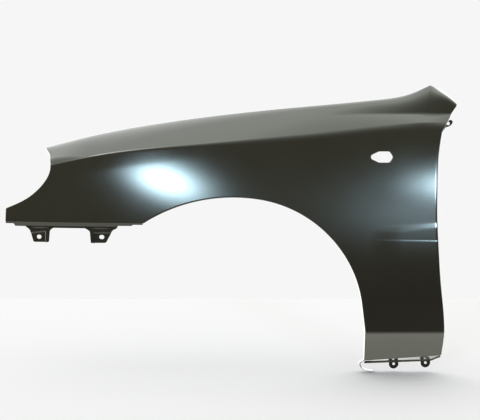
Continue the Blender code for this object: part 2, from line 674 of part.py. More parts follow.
def main():
    for item in list(bpy.data.objects):
        bpy.data.objects.remove(item, do_unlink=True)
    panel_parts = new_collection("car_fender")
    cutters = new_collection("cutters")

    side, u, arch_start, sill_start = side_patch()
    skin = np.concatenate((side, shoulder_patch(side[-1], u)))
    sill = sill_patch(side[0, sill_start:])
    into = inward(skin)
    into_sill = inward(sill[::-1])[::-1]

    # Flanges round the outline, from the front bottom corner
    bumper = bumper_flange(side[0, :arch_start + 1], side[1, :arch_start + 1])
    arch_line = np.concatenate((side[0, arch_start:sill_start + 1], sill[1:, 0]))
    arch_inner = np.concatenate((side[1, arch_start:sill_start + 1], sill[1:, 1]))
    arch = fold(arch_line, leaving(arch_line, arch_inner),
                [(INBOARD, BEND, tapered(arch_line, ARCH_FLANGE, at_end=False), 2)])
    lamp_line = skin[:, 0]
    lamp = fold(lamp_line, leaving(lamp_line, skin[:, 1]),
                [(into[:, 0], BEND, tapered(lamp_line, LAMP_FLANGE), 1)])
    door_line = np.concatenate((sill[:0:-1, -1], skin[:, -1]))
    door_inner = np.concatenate((sill[:0:-1, -2], skin[:, -2]))
    door_into = np.concatenate((into_sill[:0:-1, -1], into[:, -1]))
    ear_row = int(np.argmin(np.abs(door_line[:, 2] - side[-1, -1, 2] + PILLAR_EAR_DROP[0])))
    ear_rows = slice(ear_row, ear_row + 3)
    door_lengths = door_flange_lengths(door_line, ear_rows, ear_row + 3)
    door = fold(door_line, leaving(door_line, door_inner), [(door_into, BEND, door_lengths, 1)])
    hood = hood_flange(skin[-1], leaving(skin[-1], skin[-2]))
    under, under_slope = sill_flange(sill[-1], sill[-2])

    # Curl at the foot of the arch flange
    foot = arch[:, -1]
    curl = np.stack([foot] + [foot + np.array((dx, 0.0, dz)) for dx, dz in CURL])

    # Tabs and ears
    grids = [skin, sill, bumper, arch, lamp, door, hood, under, curl]
    holes = []
    bottom_x = side[0, :, 0]
    for name, tab in zip(("front_tab", "rear_tab"), bumper_stations()[1:]):
        first, last = (int(np.argmin(np.abs(bottom_x - x))) for x in tab["root"])
        grid, hole, normal = bumper_tab(bumper[-1, first:last + 1], tab)
        grids.append(grid)
        holes.append((name + "_hole", slot_outline(*TAB_HOLE), hole, normal, REARWARD))
    for k, x in enumerate(sill_ears()):
        middle = int(np.argmin(np.abs(side[0, sill_start:, 0] - x)))
        grid, hole = ear(under[-1, middle - 1:middle + 2], DOWN, EAR_REACH, EAR_RADIUS)
        grids.append(grid)
        holes.append((f"sill_ear_hole_{k + 1}", round_outline(EAR_HOLE), hole, INBOARD, REARWARD))
        relief = (under[BEND_CELLS, middle] + under[BEND_CELLS + 1, middle]) / 2
        square = np.cross(REARWARD, under_slope[middle])
        holes.append((f"sill_relief_{k + 1}", slot_outline(*RELIEF), relief, square, REARWARD))
    turned = fold(door[-1, ear_rows], door_into[ear_rows], [(REARWARD, BEND, 0.0, 0)])
    grid, hole = ear(turned[-1], REARWARD, PILLAR_EAR_REACH, PILLAR_EAR_RADIUS, PILLAR_EAR_RISE)
    grids += [turned, grid]
    holes.append(("pillar_ear_hole", round_outline(PILLAR_EAR_HOLE), hole, INBOARD, REARWARD))

    # Holes in the hood flange's pads, and the side marker lamp's hole
    for k, x in enumerate(PAD_X):
        centre = np.array((x, float(hood_depth(x)) + PAD_HOLE_INSET, float(pad_height(x))))
        if x == ORIGIN_PAD_X:
            origin = centre + SHEET * DOWN
            for side_name, shift in (("front", -0.5), ("rear", 0.5)):
                spot = centre + shift * ORIGIN_PAD_SPACING * REARWARD
                outline = round_outline(ORIGIN_PAD_HOLE)
                holes.append((f"hood_pad_{k + 1}_{side_name}_hole", outline, spot, DOWN, REARWARD))
        else:
            holes.append((f"hood_pad_{k + 1}_hole", round_outline(PAD_HOLE), centre, DOWN, REARWARD))
    x, z = LAMP_HOLE_CENTRE
    half, rise = LAMP_HOLE_LENGTH / 2, LAMP_HOLE_HEIGHT / 2
    flat = LAMP_HOLE_FLAT
    corners = ((-half, 0.0), (flat[0], -rise), (flat[1], -rise),
               (half, 0.0), (flat[1], rise), (flat[0], rise))
    outline = rounded_outline(corners, LAMP_HOLE_CORNER)
    holes.append(("side_marker_hole", outline, np.array((x, float(side_depth(x, z)), z)), -INBOARD, REARWARD))

    panel = bpy.data.objects.new(NAME, sheet_mesh(grids, origin))
    panel_parts.objects.link(panel)
    panel.data.materials.append(coat_material())
    for name, outline, centre, normal, across in holes:
        hole_cutter(name, outline, centre, normal, across, origin, cutters)

    wall = panel.modifiers.new("sheet", "SOLIDIFY")
    wall.thickness = SHEET * MM
    wall.offset = -1.0
    wall.use_even_offset = True
    facets = panel.modifiers.new("facets", "TRIANGULATE")
    facets.min_vertices = 4
    cut = panel.modifiers.new("holes", "BOOLEAN")
    cut.operation = "DIFFERENCE"
    cut.operand_type = "COLLECTION"
    cut.collection = cutters
    cut.solver = "EXACT"
    bpy.context.view_layer.objects.active = panel
    panel.data.shade_smooth()
    panel.data.set_sharp_from_angle(angle=math.radians(35.0))


main()
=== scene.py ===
# The look of a left front car fender: one pressed panel in black electro-dip primer.
# Panel sizes are in millimetres from the wheel's centre: x to the rear, y inboard, z up.
import json
import math

import bmesh
import bpy
import numpy as np
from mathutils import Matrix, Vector

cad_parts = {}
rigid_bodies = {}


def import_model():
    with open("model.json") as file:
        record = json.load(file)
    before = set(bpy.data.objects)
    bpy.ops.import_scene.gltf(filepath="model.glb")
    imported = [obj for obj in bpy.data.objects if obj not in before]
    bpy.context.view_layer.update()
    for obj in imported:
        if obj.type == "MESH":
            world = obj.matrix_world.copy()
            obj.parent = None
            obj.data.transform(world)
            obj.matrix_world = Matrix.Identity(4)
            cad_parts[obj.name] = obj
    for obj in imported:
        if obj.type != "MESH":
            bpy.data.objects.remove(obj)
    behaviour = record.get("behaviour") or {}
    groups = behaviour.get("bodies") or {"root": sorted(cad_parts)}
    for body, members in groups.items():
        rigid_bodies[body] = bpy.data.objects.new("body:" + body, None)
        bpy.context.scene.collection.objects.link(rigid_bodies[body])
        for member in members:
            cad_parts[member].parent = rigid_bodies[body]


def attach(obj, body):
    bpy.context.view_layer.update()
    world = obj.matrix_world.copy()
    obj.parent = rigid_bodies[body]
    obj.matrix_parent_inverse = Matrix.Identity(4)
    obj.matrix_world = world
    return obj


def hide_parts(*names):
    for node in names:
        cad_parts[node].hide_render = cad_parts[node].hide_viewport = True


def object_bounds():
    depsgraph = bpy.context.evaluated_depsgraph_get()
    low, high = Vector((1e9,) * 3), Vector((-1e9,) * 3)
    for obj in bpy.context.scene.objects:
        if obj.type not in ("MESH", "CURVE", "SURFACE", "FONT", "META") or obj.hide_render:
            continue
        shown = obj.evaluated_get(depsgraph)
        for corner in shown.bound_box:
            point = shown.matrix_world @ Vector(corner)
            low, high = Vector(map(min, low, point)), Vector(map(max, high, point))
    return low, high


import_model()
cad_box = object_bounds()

MM = 0.001

# Sheet and bends
SHEET = 0.8
BEND = 2.5
HOOD_BEND = 3.5
SHORTEST_FLANGE = 1.2
CORNER_TAPER = 30.0

# Side panel
SWEEP_START_X = 100.0
NOSE_SWEEP = 155.4
NOSE_SWEEP_POWER = 2.3
DOOR_TUCK = 4.0
WIDEST_Z = 180.0
CROWN_HEIGHT = 300.0
CROWN = 30.0

# Side crease (x, z) and hood line (x, y, z)
CREASE = ((-491.0, 389.5), (-372.0, 414.5), (-254.0, 430.5), (-100.0, 443.5), (53.0, 456.0), (205.0, 469.0),
          (357.0, 484.0), (519.0, 492.5))
HOOD_LINE = ((-523.0, 215.0, 435.5), (-386.0, 202.5, 469.0), (-225.0, 185.0, 498.0), (15.0, 167.0, 528.5),
             (252.0, 152.0, 551.0), (370.0, 145.0, 562.5), (448.0, 140.5, 576.5), (500.0, 137.5, 599.0))
PILLAR_TIP = (566.5, 135.0, 554.0)
PILLAR_EDGE_CROWN = 5.0
PILLAR_CROWN_WAY = (0.6, 0.0, 0.8)
PEAK_SHARE = 0.94
ARCH_LEANS = (-22.0, 62.0)

# Shoulder section
CREASE_ROUND = (2.0, 11.0)
CREASE_ROUND_X = (-420.0, 260.0)
FACET_HEIGHT_FRONT = 16.0
FACET_TAPER = 121.0
FACET_RUN = 0.9
SHOULDER_FULLNESS = (0.62, 0.76)
CONCAVE_X = (30.0, 500.0)
CONCAVE_START = (226.0, 89.0, 515.0)
CONCAVE_END = (545.0, 76.0, 524.5)
BAND_CROWN = 0.5
BAND_CROWN_WAY = (-0.5, 0.85)
VALLEY_LEANS = (1.05, 0.1)
WALL_POWERS = (3.6, 13.0)
WALL_POWERS_X = (445.0, 510.0)

# Front tip, bottom edge and headlamp cut-out
TIP_BOTTOM = (-622.0, 238.5)
BOTTOM_SLOPE = 0.0116
TIP_TOP = (-619.0, 276.0)
LAMP_CUT = ((-575.5, 294.5), (-538.0, 318.5), (-508.0, 350.0), (-494.5, 381.5), (-496.5, 403.0),
            (-505.0, 420.0))
LAMP_FLANGE = 11.0
LAMP_EASE_POWER = 4

# Wheel arch
ARCH_CENTRE = (1.5, -4.0)
ARCH_RADIUS = 313.5
ARCH_FRONT_RADIUS = 423.5
ARCH_FRONT_JOIN = math.radians(8.8)
ARCH_LEG_JOIN = math.radians(82.5)
ARCH_FLANGE = 22.0

# Door edge
DOOR_EDGE = ((522.0, -100.5), (524.0, -30.0), (512.0, 89.0), (505.0, 178.0), (501.0, 267.0), (501.5, 330.0),
             (504.5, 405.0), (511.5, 456.0), (519.0, 492.5))
DOOR_FLANGE = 12.0

# Sill band and its flange
SILL_CREASE_Z = -30.0
SILL_FRONT_Z = -115.0
SILL_FRONT_LEAN = 2.0
SILL_SLOPE = 0.5
SILL_SOFTNESS = 8.0
SILL_FLANGE_RUN = 24.0
SILL_FLANGE_DROP = (8.0, 15.0)
SILL_FLANGE_END = 3.6
SILL_LIP = 1.5

# Two-line crease at the door edge
SPEAR_X = (332.0, 470.0)
SPEAR_UPPER_Z = (228.0, 239.0)
SPEAR_LOWER_Z = (204.0, 202.0)
SPEAR_FULL_X = 415.0
SPEAR_UPPER_STEP = 1.15
SPEAR_UPPER_WIDTH = 20.0
SPEAR_LOWER_STEP = 0.35
SPEAR_LOWER_WIDTH = 4.0

# Side marker lamp hole
LAMP_HOLE_CENTRE = (361.5, 413.0)
LAMP_HOLE_LENGTH = 56.0
LAMP_HOLE_HEIGHT = 28.0
LAMP_HOLE_BLUNT = 4.5
LAMP_HOLE_FLAT = (-8.0, 19.0)
LAMP_HOLE_CORNER = 6.0

# Bumper flange and its tabs
BUMPER_FRONT_GAP = 29.0
BUMPER_REAR_GAP = 29.5
BUMPER_WALL_SLOPE = math.radians(53.0)
BUMPER_WALL = 10.0
BUMPER_WALL_REAR = 5.0
BUMPER_LIP = 4.5
TAB_LENGTH = 38.0
TAB_NECK = 11.0
TAB_CORNER = 3.5
SEAT_DEPTH = 4.0
SEAT_WALL = 3.0
FRONT_TAB = {"root": (62.0, 137.0), "neck": (72.0, 126.5), "tip": (80.0, 124.0),
             "seat": (-1.0, -0.9, 0.75, 0.81), "top": (13.0, 6.5), "hole": (96.0, 24.0)}
REAR_TAB = {"root": (-153.5, -68.5), "neck": (-139.5, -82.5), "tip": (-137.5, -97.5),
            "seat": (0.17, 0.23, 1.9, 2.0), "top": (10.5, 10.0), "hole": (-108.5, 22.0)}
TAB_HOLE = (14.0, 10.5)

# Hood flange
HOOD_FLANGE = 24.0
HOOD_FLANGE_FADE = 70.0
PILLAR_RETURN = 9.0
HOOD_DROP = 15.0
PAD_X = (-430.0, -170.0, 90.0, 350.0)
PAD_HALF_LENGTH = 34.0
PAD_HOLE_INSET = 19.0
PAD_HOLE = 9.0
ORIGIN_PAD_X = PAD_X[2]
ORIGIN_PAD_HOLE = 7.0
ORIGIN_PAD_SPACING = 30.0

# Ears
EAR_RADIUS = 12.5
EAR_REACH = 4.0
EAR_HOLE = 7.0
EAR_FROM_DOOR = (120.0, 36.0)
RELIEF = (12.0, 3.0)
PILLAR_EAR_DROP = 26.5
PILLAR_EAR_TILT = 0.14
PILLAR_EAR_LEAN = 0.2
PILLAR_EAR_EASE = 5.6
PILLAR_EAR_RAMP = 36.0
PILLAR_EAR_INSET = 36.0
PILLAR_EAR_RADIUS = 11.0
PILLAR_EAR_REACH = 8.0
PILLAR_EAR_RISE = 36.0
PILLAR_EAR_HOLE = 9.0
CURL = ((-7.0, -4.0), (-12.0, -9.0), (-10.0, -17.0), (-2.0, -24.0), (10.0, -28.0), (24.0, -29.0))

# Fineness of the drawn surface
COLUMN_STEP = 6.0
ARCH_CELLS = 104
ARCH_START_ROUNDS = 20
BEND_CELLS = 5
LAMP_POINTS = 800
SIDE_STEPS = (0.009, 0.013, 0.0025, 0.008, 0.004, 0.012, 0.0066)
SPEAR_LOWER_MARGIN = 0.012
SPEAR_UPPER_MARGINS = (0.035, 0.02)
SILL_STEPS = np.concatenate((np.linspace(0.0, 0.3, 13)[:-1], np.linspace(0.3, 1.0, 12)))
FACET_STEPS = (0.5, 1.0)
ROUND_STEPS = (0.125, 0.25, 0.375, 0.5, 0.625, 0.75, 0.875, 1.0)
BAND_STEPS = (0.07, 0.16, 0.26, 0.37, 0.48, 0.6, 0.71, 0.81, 0.91, 1.0)
WALL_STEPS = (0.08, 0.16, 0.25, 0.34, 0.43, 0.52, 0.61, 0.69, 0.76, 0.83, 0.89, 0.95, 1.0)
CURL_ROWS = 37
EAR_STALK_ROWS = 9
EAR_END_ANGLES = np.radians((10, 20, 30, 40, 50, 58, 66, 73, 79, 84, 88))
SILL_FLANGE_CELLS = 5
SEAT_CELLS = 6
TAB_ROWS = 44
TAB_CORNER_STEPS = np.array((0.3, 0.55, 0.75, 0.9, 1.0))
CUTTER_REACH = 5.0
JOIN_DISTANCE = 0.01
SHARP_ANGLE = math.radians(50.0)

INBOARD = np.array((0.0, 1.0, 0.0))
DOWN = np.array((0.0, 0.0, -1.0))
REARWARD = np.array((1.0, 0.0, 0.0))


def unit(vectors):
    """Each vector divided by its length."""
    return vectors / np.linalg.norm(vectors, axis=-1, keepdims=True)


def blend(value, start, end):
    """Zero at start, one at end: three times the square less twice the cube of the share between."""
    t = np.clip((value - start) / (end - start), 0.0, 1.0)
    return t * t * (3.0 - 2.0 * t)


def mix(a, b, t):
    """A straight line from a to b."""
    return a + (b - a) * t


def smooth_curve(points):
    """A natural cubic through points, given as (abscissa, ordinate): its second slope is even at each."""
    x, y = np.array(points, dtype=float).T
    gap = np.diff(x)
    slope = np.diff(y) / gap
    size = len(x)
    system = np.eye(size)
    load = np.zeros(size)
    for k in range(1, size - 1):
        system[k, k - 1:k + 2] = gap[k - 1], 2.0 * (gap[k - 1] + gap[k]), gap[k]
        load[k] = 6.0 * (slope[k] - slope[k - 1])
    bend = np.linalg.solve(system, load)

    def height(at):
        """Cubes of the ways to the knots on both sides, each times a bend, plus a straight line."""
        k = np.clip(np.searchsorted(x, at) - 1, 0, size - 2)
        a = x[k + 1] - at
        b = at - x[k]
        cubic = (bend[k] * a ** 3 + bend[k + 1] * b ** 3) / (6.0 * gap[k])
        return (cubic + (y[k] / gap[k] - bend[k] * gap[k] / 6.0) * a
                + (y[k + 1] / gap[k] - bend[k + 1] * gap[k] / 6.0) * b)

    return height


crease_height = smooth_curve(CREASE)
hood_height = smooth_curve([(x, z) for x, _, z in HOOD_LINE])
hood_depth = smooth_curve([(x, y) for x, y, _ in HOOD_LINE])
door_edge = smooth_curve([(z, x) for x, z in DOOR_EDGE])
lamp_edge = smooth_curve([(z, x) for x, z in (TIP_TOP,) + LAMP_CUT + ((HOOD_LINE[0][0], HOOD_LINE[0][2]),)])


def side_depth(x, z):
    """Depth of the side panel: a power of the way to the nose, squares of the ways to the door and from
    the widest height, less two even steps that fade in towards the door."""
    nose = np.clip((SWEEP_START_X - x) / (SWEEP_START_X - TIP_BOTTOM[0]), 0.0, None)
    door = np.clip((x - SWEEP_START_X) / (DOOR_EDGE[-1][0] - SWEEP_START_X), 0.0, None)
    crown = (z - WIDEST_Z) / CROWN_HEIGHT
    depth = NOSE_SWEEP * nose ** NOSE_SWEEP_POWER + DOOR_TUCK * door ** 2 + CROWN * crown ** 2
    along = (x - SPEAR_X[0]) / (SPEAR_X[1] - SPEAR_X[0])
    upper = mix(*SPEAR_UPPER_Z, along)
    lower = mix(*SPEAR_LOWER_Z, along)
    step = SPEAR_UPPER_STEP * blend(-z, -upper - SPEAR_UPPER_WIDTH / 2, -upper + SPEAR_UPPER_WIDTH / 2)
    step += SPEAR_LOWER_STEP * blend(-z, -lower - SPEAR_LOWER_WIDTH / 2, -lower + SPEAR_LOWER_WIDTH / 2)
    return depth - step * blend(x, SPEAR_X[0], SPEAR_FULL_X) * blend(z, SILL_CREASE_Z, SPEAR_LOWER_Z[1])


def bottom_edge(x):
    """Height of the bottom edge ahead of the wheel arch: a straight line with a slight rise."""
    return TIP_BOTTOM[1] + BOTTOM_SLOPE * (x - TIP_BOTTOM[0]) + BEND


def arch_edge(cells):
    """The wheel arch at even steps of length: an arc about a low centre, an arc about the wheel's, a line."""
    apart = ARCH_FRONT_RADIUS - ARCH_RADIUS
    middle = np.array(ARCH_CENTRE)
    centre = middle - apart * np.array((math.sin(ARCH_FRONT_JOIN), math.cos(ARCH_FRONT_JOIN)))
    front_radius = ARCH_FRONT_RADIUS + BEND
    x = -ARCH_RADIUS
    for _ in range(ARCH_START_ROUNDS):
        x = centre[0] - math.sqrt(front_radius ** 2 - (bottom_edge(x) - centre[1]) ** 2)
    start = math.atan2(x - centre[0], bottom_edge(x) - centre[1])
    join = middle + (ARCH_RADIUS + BEND) * np.array((math.sin(ARCH_LEG_JOIN), math.cos(ARCH_LEG_JOIN)))
    fall = (join[1] - SILL_CREASE_Z) / math.sin(ARCH_LEG_JOIN)
    foot = join + fall * np.array((math.cos(ARCH_LEG_JOIN), -math.sin(ARCH_LEG_JOIN)))
    front = front_radius * (ARCH_FRONT_JOIN - start)
    round_top = (ARCH_RADIUS + BEND) * (ARCH_LEG_JOIN - ARCH_FRONT_JOIN)
    leg = np.linalg.norm(foot - join)
    along = np.linspace(0.0, front + round_top + leg, cells + 1)
    front_angle = start + along / front_radius
    top_angle = ARCH_FRONT_JOIN + (along - front) / (ARCH_RADIUS + BEND)
    on_front = centre + front_radius * np.stack((np.sin(front_angle), np.cos(front_angle)), axis=1)
    on_top = middle + (ARCH_RADIUS + BEND) * np.stack((np.sin(top_angle), np.cos(top_angle)), axis=1)
    on_leg = join + (foot - join) * ((along - front - round_top) / leg)[:, None]
    points = np.where((along <= front)[:, None], on_front, on_top)
    return np.where((along <= front + round_top)[:, None], points, on_leg)


def lamp_side():
    """The headlamp cut-out moved into the panel by one bend, as a dense line from tip to hood."""
    z = np.linspace(TIP_TOP[1], HOOD_LINE[0][2], LAMP_POINTS)
    line = np.stack((lamp_edge(z), z), axis=1)
    along = unit(np.gradient(line, axis=0))
    return line + BEND * np.stack((along[:, 1], -along[:, 0]), axis=1)


def at_fractions(line, fractions):
    """Points of a dense line at fractions of its length."""
    steps = np.linalg.norm(np.diff(line, axis=0), axis=1)
    length = np.concatenate(([0.0], np.cumsum(steps)))
    return np.stack([np.interp(fractions * length[-1], length, line[:, k]) for k in range(2)], axis=1)


def crease_round(x):
    """How far from the side crease its rounding begins: little at the front, more to the rear."""
    return mix(*CREASE_ROUND, blend(x, *CREASE_ROUND_X))


def between(stations, step):
    """Stations joined by even steps, each no longer than the given one."""
    parts = [np.linspace(a, b, max(1, math.ceil((b - a) / step)), endpoint=False)
             for a, b in zip(stations[:-1], stations[1:])]
    return np.concatenate(parts + [stations[-1:]])


def moved_tab(tab, start):
    """A tab's stations, moved from their own start to the panel's."""
    moved = dict(tab)
    for key in ("root", "neck", "tip"):
        moved[key] = tuple(start + x for x in tab[key])
    moved["hole"] = (start + tab["hole"][0], tab["hole"][1])
    return moved


CORNER_X = float(arch_edge(ARCH_CELLS)[0, 0])
BUMPER_X = (TIP_BOTTOM[0] + BUMPER_FRONT_GAP, CORNER_X - BUMPER_REAR_GAP)
TABS = (moved_tab(FRONT_TAB, TIP_BOTTOM[0]), moved_tab(REAR_TAB, CORNER_X))
SILL_EARS = [DOOR_EDGE[0][0] - ahead for ahead in EAR_FROM_DOOR]


def bottom_line():
    """The side panel's lower border: bottom edge, wheel arch and sill crease, with where each begins."""
    step = SHORTEST_FLANGE + BEND
    stations = [TIP_BOTTOM[0] + BEND, BUMPER_X[0] - step, BUMPER_X[0], TABS[0]["root"][0] - step]
    for tab in TABS:
        left, right = tab["root"]
        edges = [share for share in tab["seat"] if 0.0 < share < 1.0]
        inner = sorted(set(edges + [mix(*edges, k / SEAT_CELLS) for k in range(SEAT_CELLS + 1)]))
        stations += [left] + [mix(left, right, share) for share in inner] + [right]
    stations += [TABS[1]["root"][1] + step, BUMPER_X[1], BUMPER_X[1] + step, CORNER_X]
    front = between(np.array(stations), COLUMN_STEP)[:-1]
    arch = arch_edge(ARCH_CELLS)
    rear = float(door_edge(SILL_CREASE_Z)) - BEND
    stops = [arch[-1, 0]]
    for centre in SILL_EARS:
        stops += [centre - EAR_RADIUS, centre, centre + EAR_RADIUS]
    sill = between(np.array(stops + [rear]), COLUMN_STEP)[1:]
    line = np.concatenate((np.stack((front, bottom_edge(front)), axis=1), arch,
                           np.stack((sill, np.full_like(sill, SILL_CREASE_Z)), axis=1)))
    return line, len(front), len(front) + ARCH_CELLS


def side_patch():
    """The side panel: a sheet stretched between four borders, each pair's straight blend added together
    less the blend of the four corners."""
    bottom, arch_start, sill_start = bottom_line()
    lamp = lamp_side()
    meet = int(np.argmax(lamp[:, 1] - crease_height(lamp[:, 0]) + crease_round(lamp[:, 0]) > 0.0))
    tip = np.array((TIP_BOTTOM[0] + BEND, bottom_edge(TIP_BOTTOM[0] + BEND)))
    left_line = np.concatenate((tip[None], lamp[:meet + 1]))
    run = np.linalg.norm(np.diff(left_line, axis=0), axis=1)
    tip_row = run[0] / run.sum()
    top_z = float(crease_height(door_edge(CREASE[-1][1])))
    top_z -= float(crease_round(door_edge(top_z)))
    rise = top_z - SILL_CREASE_Z
    lower, upper = ((height - SILL_CREASE_Z) / rise for height in (SPEAR_LOWER_Z[1], SPEAR_UPPER_Z[1]))
    below, above = SPEAR_UPPER_MARGINS
    stops = np.array((0.0, tip_row, lower - SPEAR_LOWER_MARGIN, lower + SPEAR_LOWER_MARGIN, upper - below,
                      upper + above, 1.0 - (PILLAR_EAR_DROP - CREASE_ROUND[1]) / rise, 1.0))
    parts = [between(stops[k:k + 2], step)[:-1] for k, step in enumerate(SIDE_STEPS)]
    v = np.concatenate(parts + [[1.0]])
    left = at_fractions(left_line, v)
    right_z = mix(SILL_CREASE_Z, top_z, v)
    right = np.stack((door_edge(right_z) - BEND, right_z), axis=1)

    length = np.concatenate(([0.0], np.cumsum(np.linalg.norm(np.diff(bottom, axis=0), axis=1))))
    marks = length[[0, arch_start, sill_start, -1]]
    over_arch = [bottom[k, 0] + lean for k, lean in zip((arch_start, sill_start), ARCH_LEANS)]
    crease_x = np.interp(length, marks, [left[-1, 0]] + over_arch + [right[-1, 0]])
    top = np.stack((crease_x, crease_height(crease_x) - crease_round(crease_x)), axis=1)
    top[0] = left[-1]
    top[-1] = right[-1]
    u = ((crease_x - crease_x[0]) / (crease_x[-1] - crease_x[0]))[None, :, None]
    v = v[:, None, None]
    flat = (1 - v) * bottom + v * top + (1 - u) * left[:, None] + u * right[:, None]
    flat -= (1 - u) * (1 - v) * bottom[0] + u * (1 - v) * bottom[-1] + (1 - u) * v * top[0] + u * v * top[-1]
    x, z = flat[..., 0], flat[..., 1]
    return np.stack((x, side_depth(x, z), z), axis=-1), u[0, :, 0], arch_start, sill_start


def quadratic(start, control, end, t):
    """A parabola that leaves start towards the control point and reaches end from it."""
    return (1 - t) ** 2 * start + 2 * t * (1 - t) * control + t ** 2 * end


def shoulder_patch(side_top, u):
    """Sections from the side to the hood line: a parabola rounds the crease, a straight facet fades out to
    the rear, then two parabolas share a slope. Towards the door the upper one turns into a hollow wall,
    whose depth is a slope times the height plus a high power of it, and the two meet in a valley."""
    x = side_top[:, 0]
    crease = np.stack((x, side_depth(x, crease_height(x)), crease_height(x)), axis=1)
    peak_x = mix(crease[0, 0], crease[-1, 0], PEAK_SHARE)
    lamp = lamp_side()
    run = np.interp(crease[:, 0], (crease[0, 0], peak_x), (lamp[-1, 0], HOOD_LINE[-1][0]))
    hood = np.stack((run, hood_depth(run), hood_height(run)), axis=1)
    tail = np.clip((crease[:, 0] - peak_x) / (crease[-1, 0] - peak_x), 0.0, 1.0)[:, None]
    end = np.array(PILLAR_TIP) - BEND * REARWARD
    crown = PILLAR_EDGE_CROWN * 4.0 * tail * (1.0 - tail) * np.array(PILLAR_CROWN_WAY)
    hood = mix(hood, end, tail) + crown

    low = crease[:, 1:]
    high = hood[:, 1:]
    from_front = blend(-x, -CREASE[0][0] - FACET_TAPER, -CREASE[0][0])[:, None]
    leaning = unit((high - low) * np.array(SHOULDER_FULLNESS))
    start = mix(leaning, unit(np.array((FACET_RUN, 1.0))), from_front)
    rounded = low + crease_round(x)[:, None] * start
    facet = mix(rounded + start, low + FACET_HEIGHT_FRONT * np.array((FACET_RUN, 1.0)), from_front)
    control = facet + (high - facet) * np.array(SHOULDER_FULLNESS)
    band_control = (facet + control) / 2
    wall_control = (control + high) / 2
    middle = (band_control + wall_control) / 2

    share = blend(crease[:, 0], *CONCAVE_X)[:, None]
    along = ((crease[:, 0] - CONCAVE_START[0]) / (CONCAVE_END[0] - CONCAVE_START[0]))[:, None]
    valley = mix(np.array(CONCAVE_START[1:]), np.array(CONCAVE_END[1:]), along)
    middle = mix(middle, valley, share)
    stepped_band = (facet + middle) / 2 + BAND_CROWN * np.array(BAND_CROWN_WAY)
    band_control = mix(band_control, stepped_band, share)
    across, up = (high - middle).T
    lean = mix(*VALLEY_LEANS, along[:, 0]) * up
    power = mix(*WALL_POWERS, blend(crease[:, 0], *WALL_POWERS_X))

    rows = [quadratic(side_top[:, 1:], low, rounded, t) for t in ROUND_STEPS]
    rows += [mix(rounded, facet, t) for t in FACET_STEPS]
    rows += [quadratic(facet, band_control, middle, t) for t in BAND_STEPS]
    for t in WALL_STEPS:
        hollow = middle + np.stack((lean * t + (across - lean) * t ** power, up * t), axis=1)
        rows.append(mix(quadratic(middle, wall_control, high, t), hollow, share))
    section = np.stack(rows)
    base = side_top[:, 2]
    x = mix(x, hood[:, 0], (section[..., 1] - base) / (high[:, 1] - base))
    at_front = np.interp(section[:, 0, 1], lamp[:, 1], lamp[:, 0]) - x[:, 0]
    x += at_front[:, None] * (1 - u) ** LAMP_EASE_POWER
    return np.concatenate((x[..., None], section), axis=-1)


def sill_patch(crease):
    """The band under the sill crease: its depth grows as a hyperbola, level first and then at a slope."""
    front_z = SILL_FRONT_Z + BEND
    rear_z = DOOR_EDGE[0][1] + BEND
    share = (crease[:, 0] - crease[0, 0]) / (crease[-1, 0] - crease[0, 0])
    depth = (SILL_CREASE_Z - mix(front_z, rear_z, share)) * SILL_STEPS[:, None]
    z = SILL_CREASE_Z - depth
    left = (crease[0, 0] + SILL_FRONT_LEAN * SILL_STEPS)[:, None]
    right = door_edge(z[:, -1])[:, None] - BEND
    x = mix(left, right, share)
    slope = 2.0 * CROWN * (WIDEST_Z - SILL_CREASE_Z) / CROWN_HEIGHT ** 2
    soft = np.hypot(depth, SILL_SOFTNESS) - SILL_SOFTNESS
    y = side_depth(x, np.full_like(z, SILL_CREASE_Z)) + slope * depth + (SILL_SLOPE - slope) * soft
    return np.stack((x, y, z), axis=-1)


def leaving(edge, inner):
    """Directions that lie in the sheet and leave it square to its edge."""
    along = unit(np.gradient(edge, axis=0))
    out = edge - inner
    return unit(out - np.sum(out * along, axis=1, keepdims=True) * along)


def inward(grid):
    """Directions square to the sheet, to its hidden side."""
    return -unit(np.cross(np.gradient(grid, axis=1), np.gradient(grid, axis=0)))


def fold(edge, direction, turns):
    """Rows grown from an edge: each turn is an arc from one direction to the next, then a straight run."""
    rows = [edge]
    for toward, radius, length, cells in turns:
        toward = unit(np.broadcast_to(toward, edge.shape))
        cosine = np.clip(np.sum(direction * toward, axis=1, keepdims=True), -1.0, 1.0)
        angle = np.arccos(cosine)
        if radius > 0.0:
            aside = unit(toward - cosine * direction)
            base = rows[-1]
            for k in range(1, BEND_CELLS + 1):
                a = angle * k / BEND_CELLS
                rows.append(base + radius * (np.sin(a) * direction + (1.0 - np.cos(a)) * aside))
        base = rows[-1]
        reach = np.reshape(np.broadcast_to(length, len(edge)), (-1, 1))
        for k in range(1, cells + 1):
            rows.append(base + toward * reach * k / cells)
        direction = toward
    return np.stack(rows)


def run_along(edge):
    """Length along an edge at each of its points."""
    return np.concatenate(([0.0], np.cumsum(np.linalg.norm(np.diff(edge, axis=0), axis=1))))


def tapered(edge, length, at_end=True):
    """Flange lengths that ease to a short one towards the ends of an edge, to leave its corners open."""
    run = run_along(edge)
    share = blend(run, 0.0, CORNER_TAPER)
    if at_end:
        share = share * blend(run[-1] - run, 0.0, CORNER_TAPER)
    return mix(SHORTEST_FLANGE, length, share)


def door_flange_lengths(edge, ear_start, ear_end):
    """Return flange at the door: it ramps up to carry the pillar ear, and is short over the ear itself."""
    length = tapered(edge, DOOR_FLANGE)
    run = run_along(edge)
    first, last = run[ear_start], run[ear_end]
    stations = (first - PILLAR_EAR_RAMP, first, last, last + PILLAR_EAR_EASE)
    ramp = np.interp(run, stations, (DOOR_FLANGE, PILLAR_EAR_INSET, PILLAR_EAR_INSET, SHORTEST_FLANGE))
    near_ear = (run > stations[0]) & (edge[:, 1] < edge[ear_end, 1] + PILLAR_EAR_INSET)
    return np.where(near_ear, ramp, length)


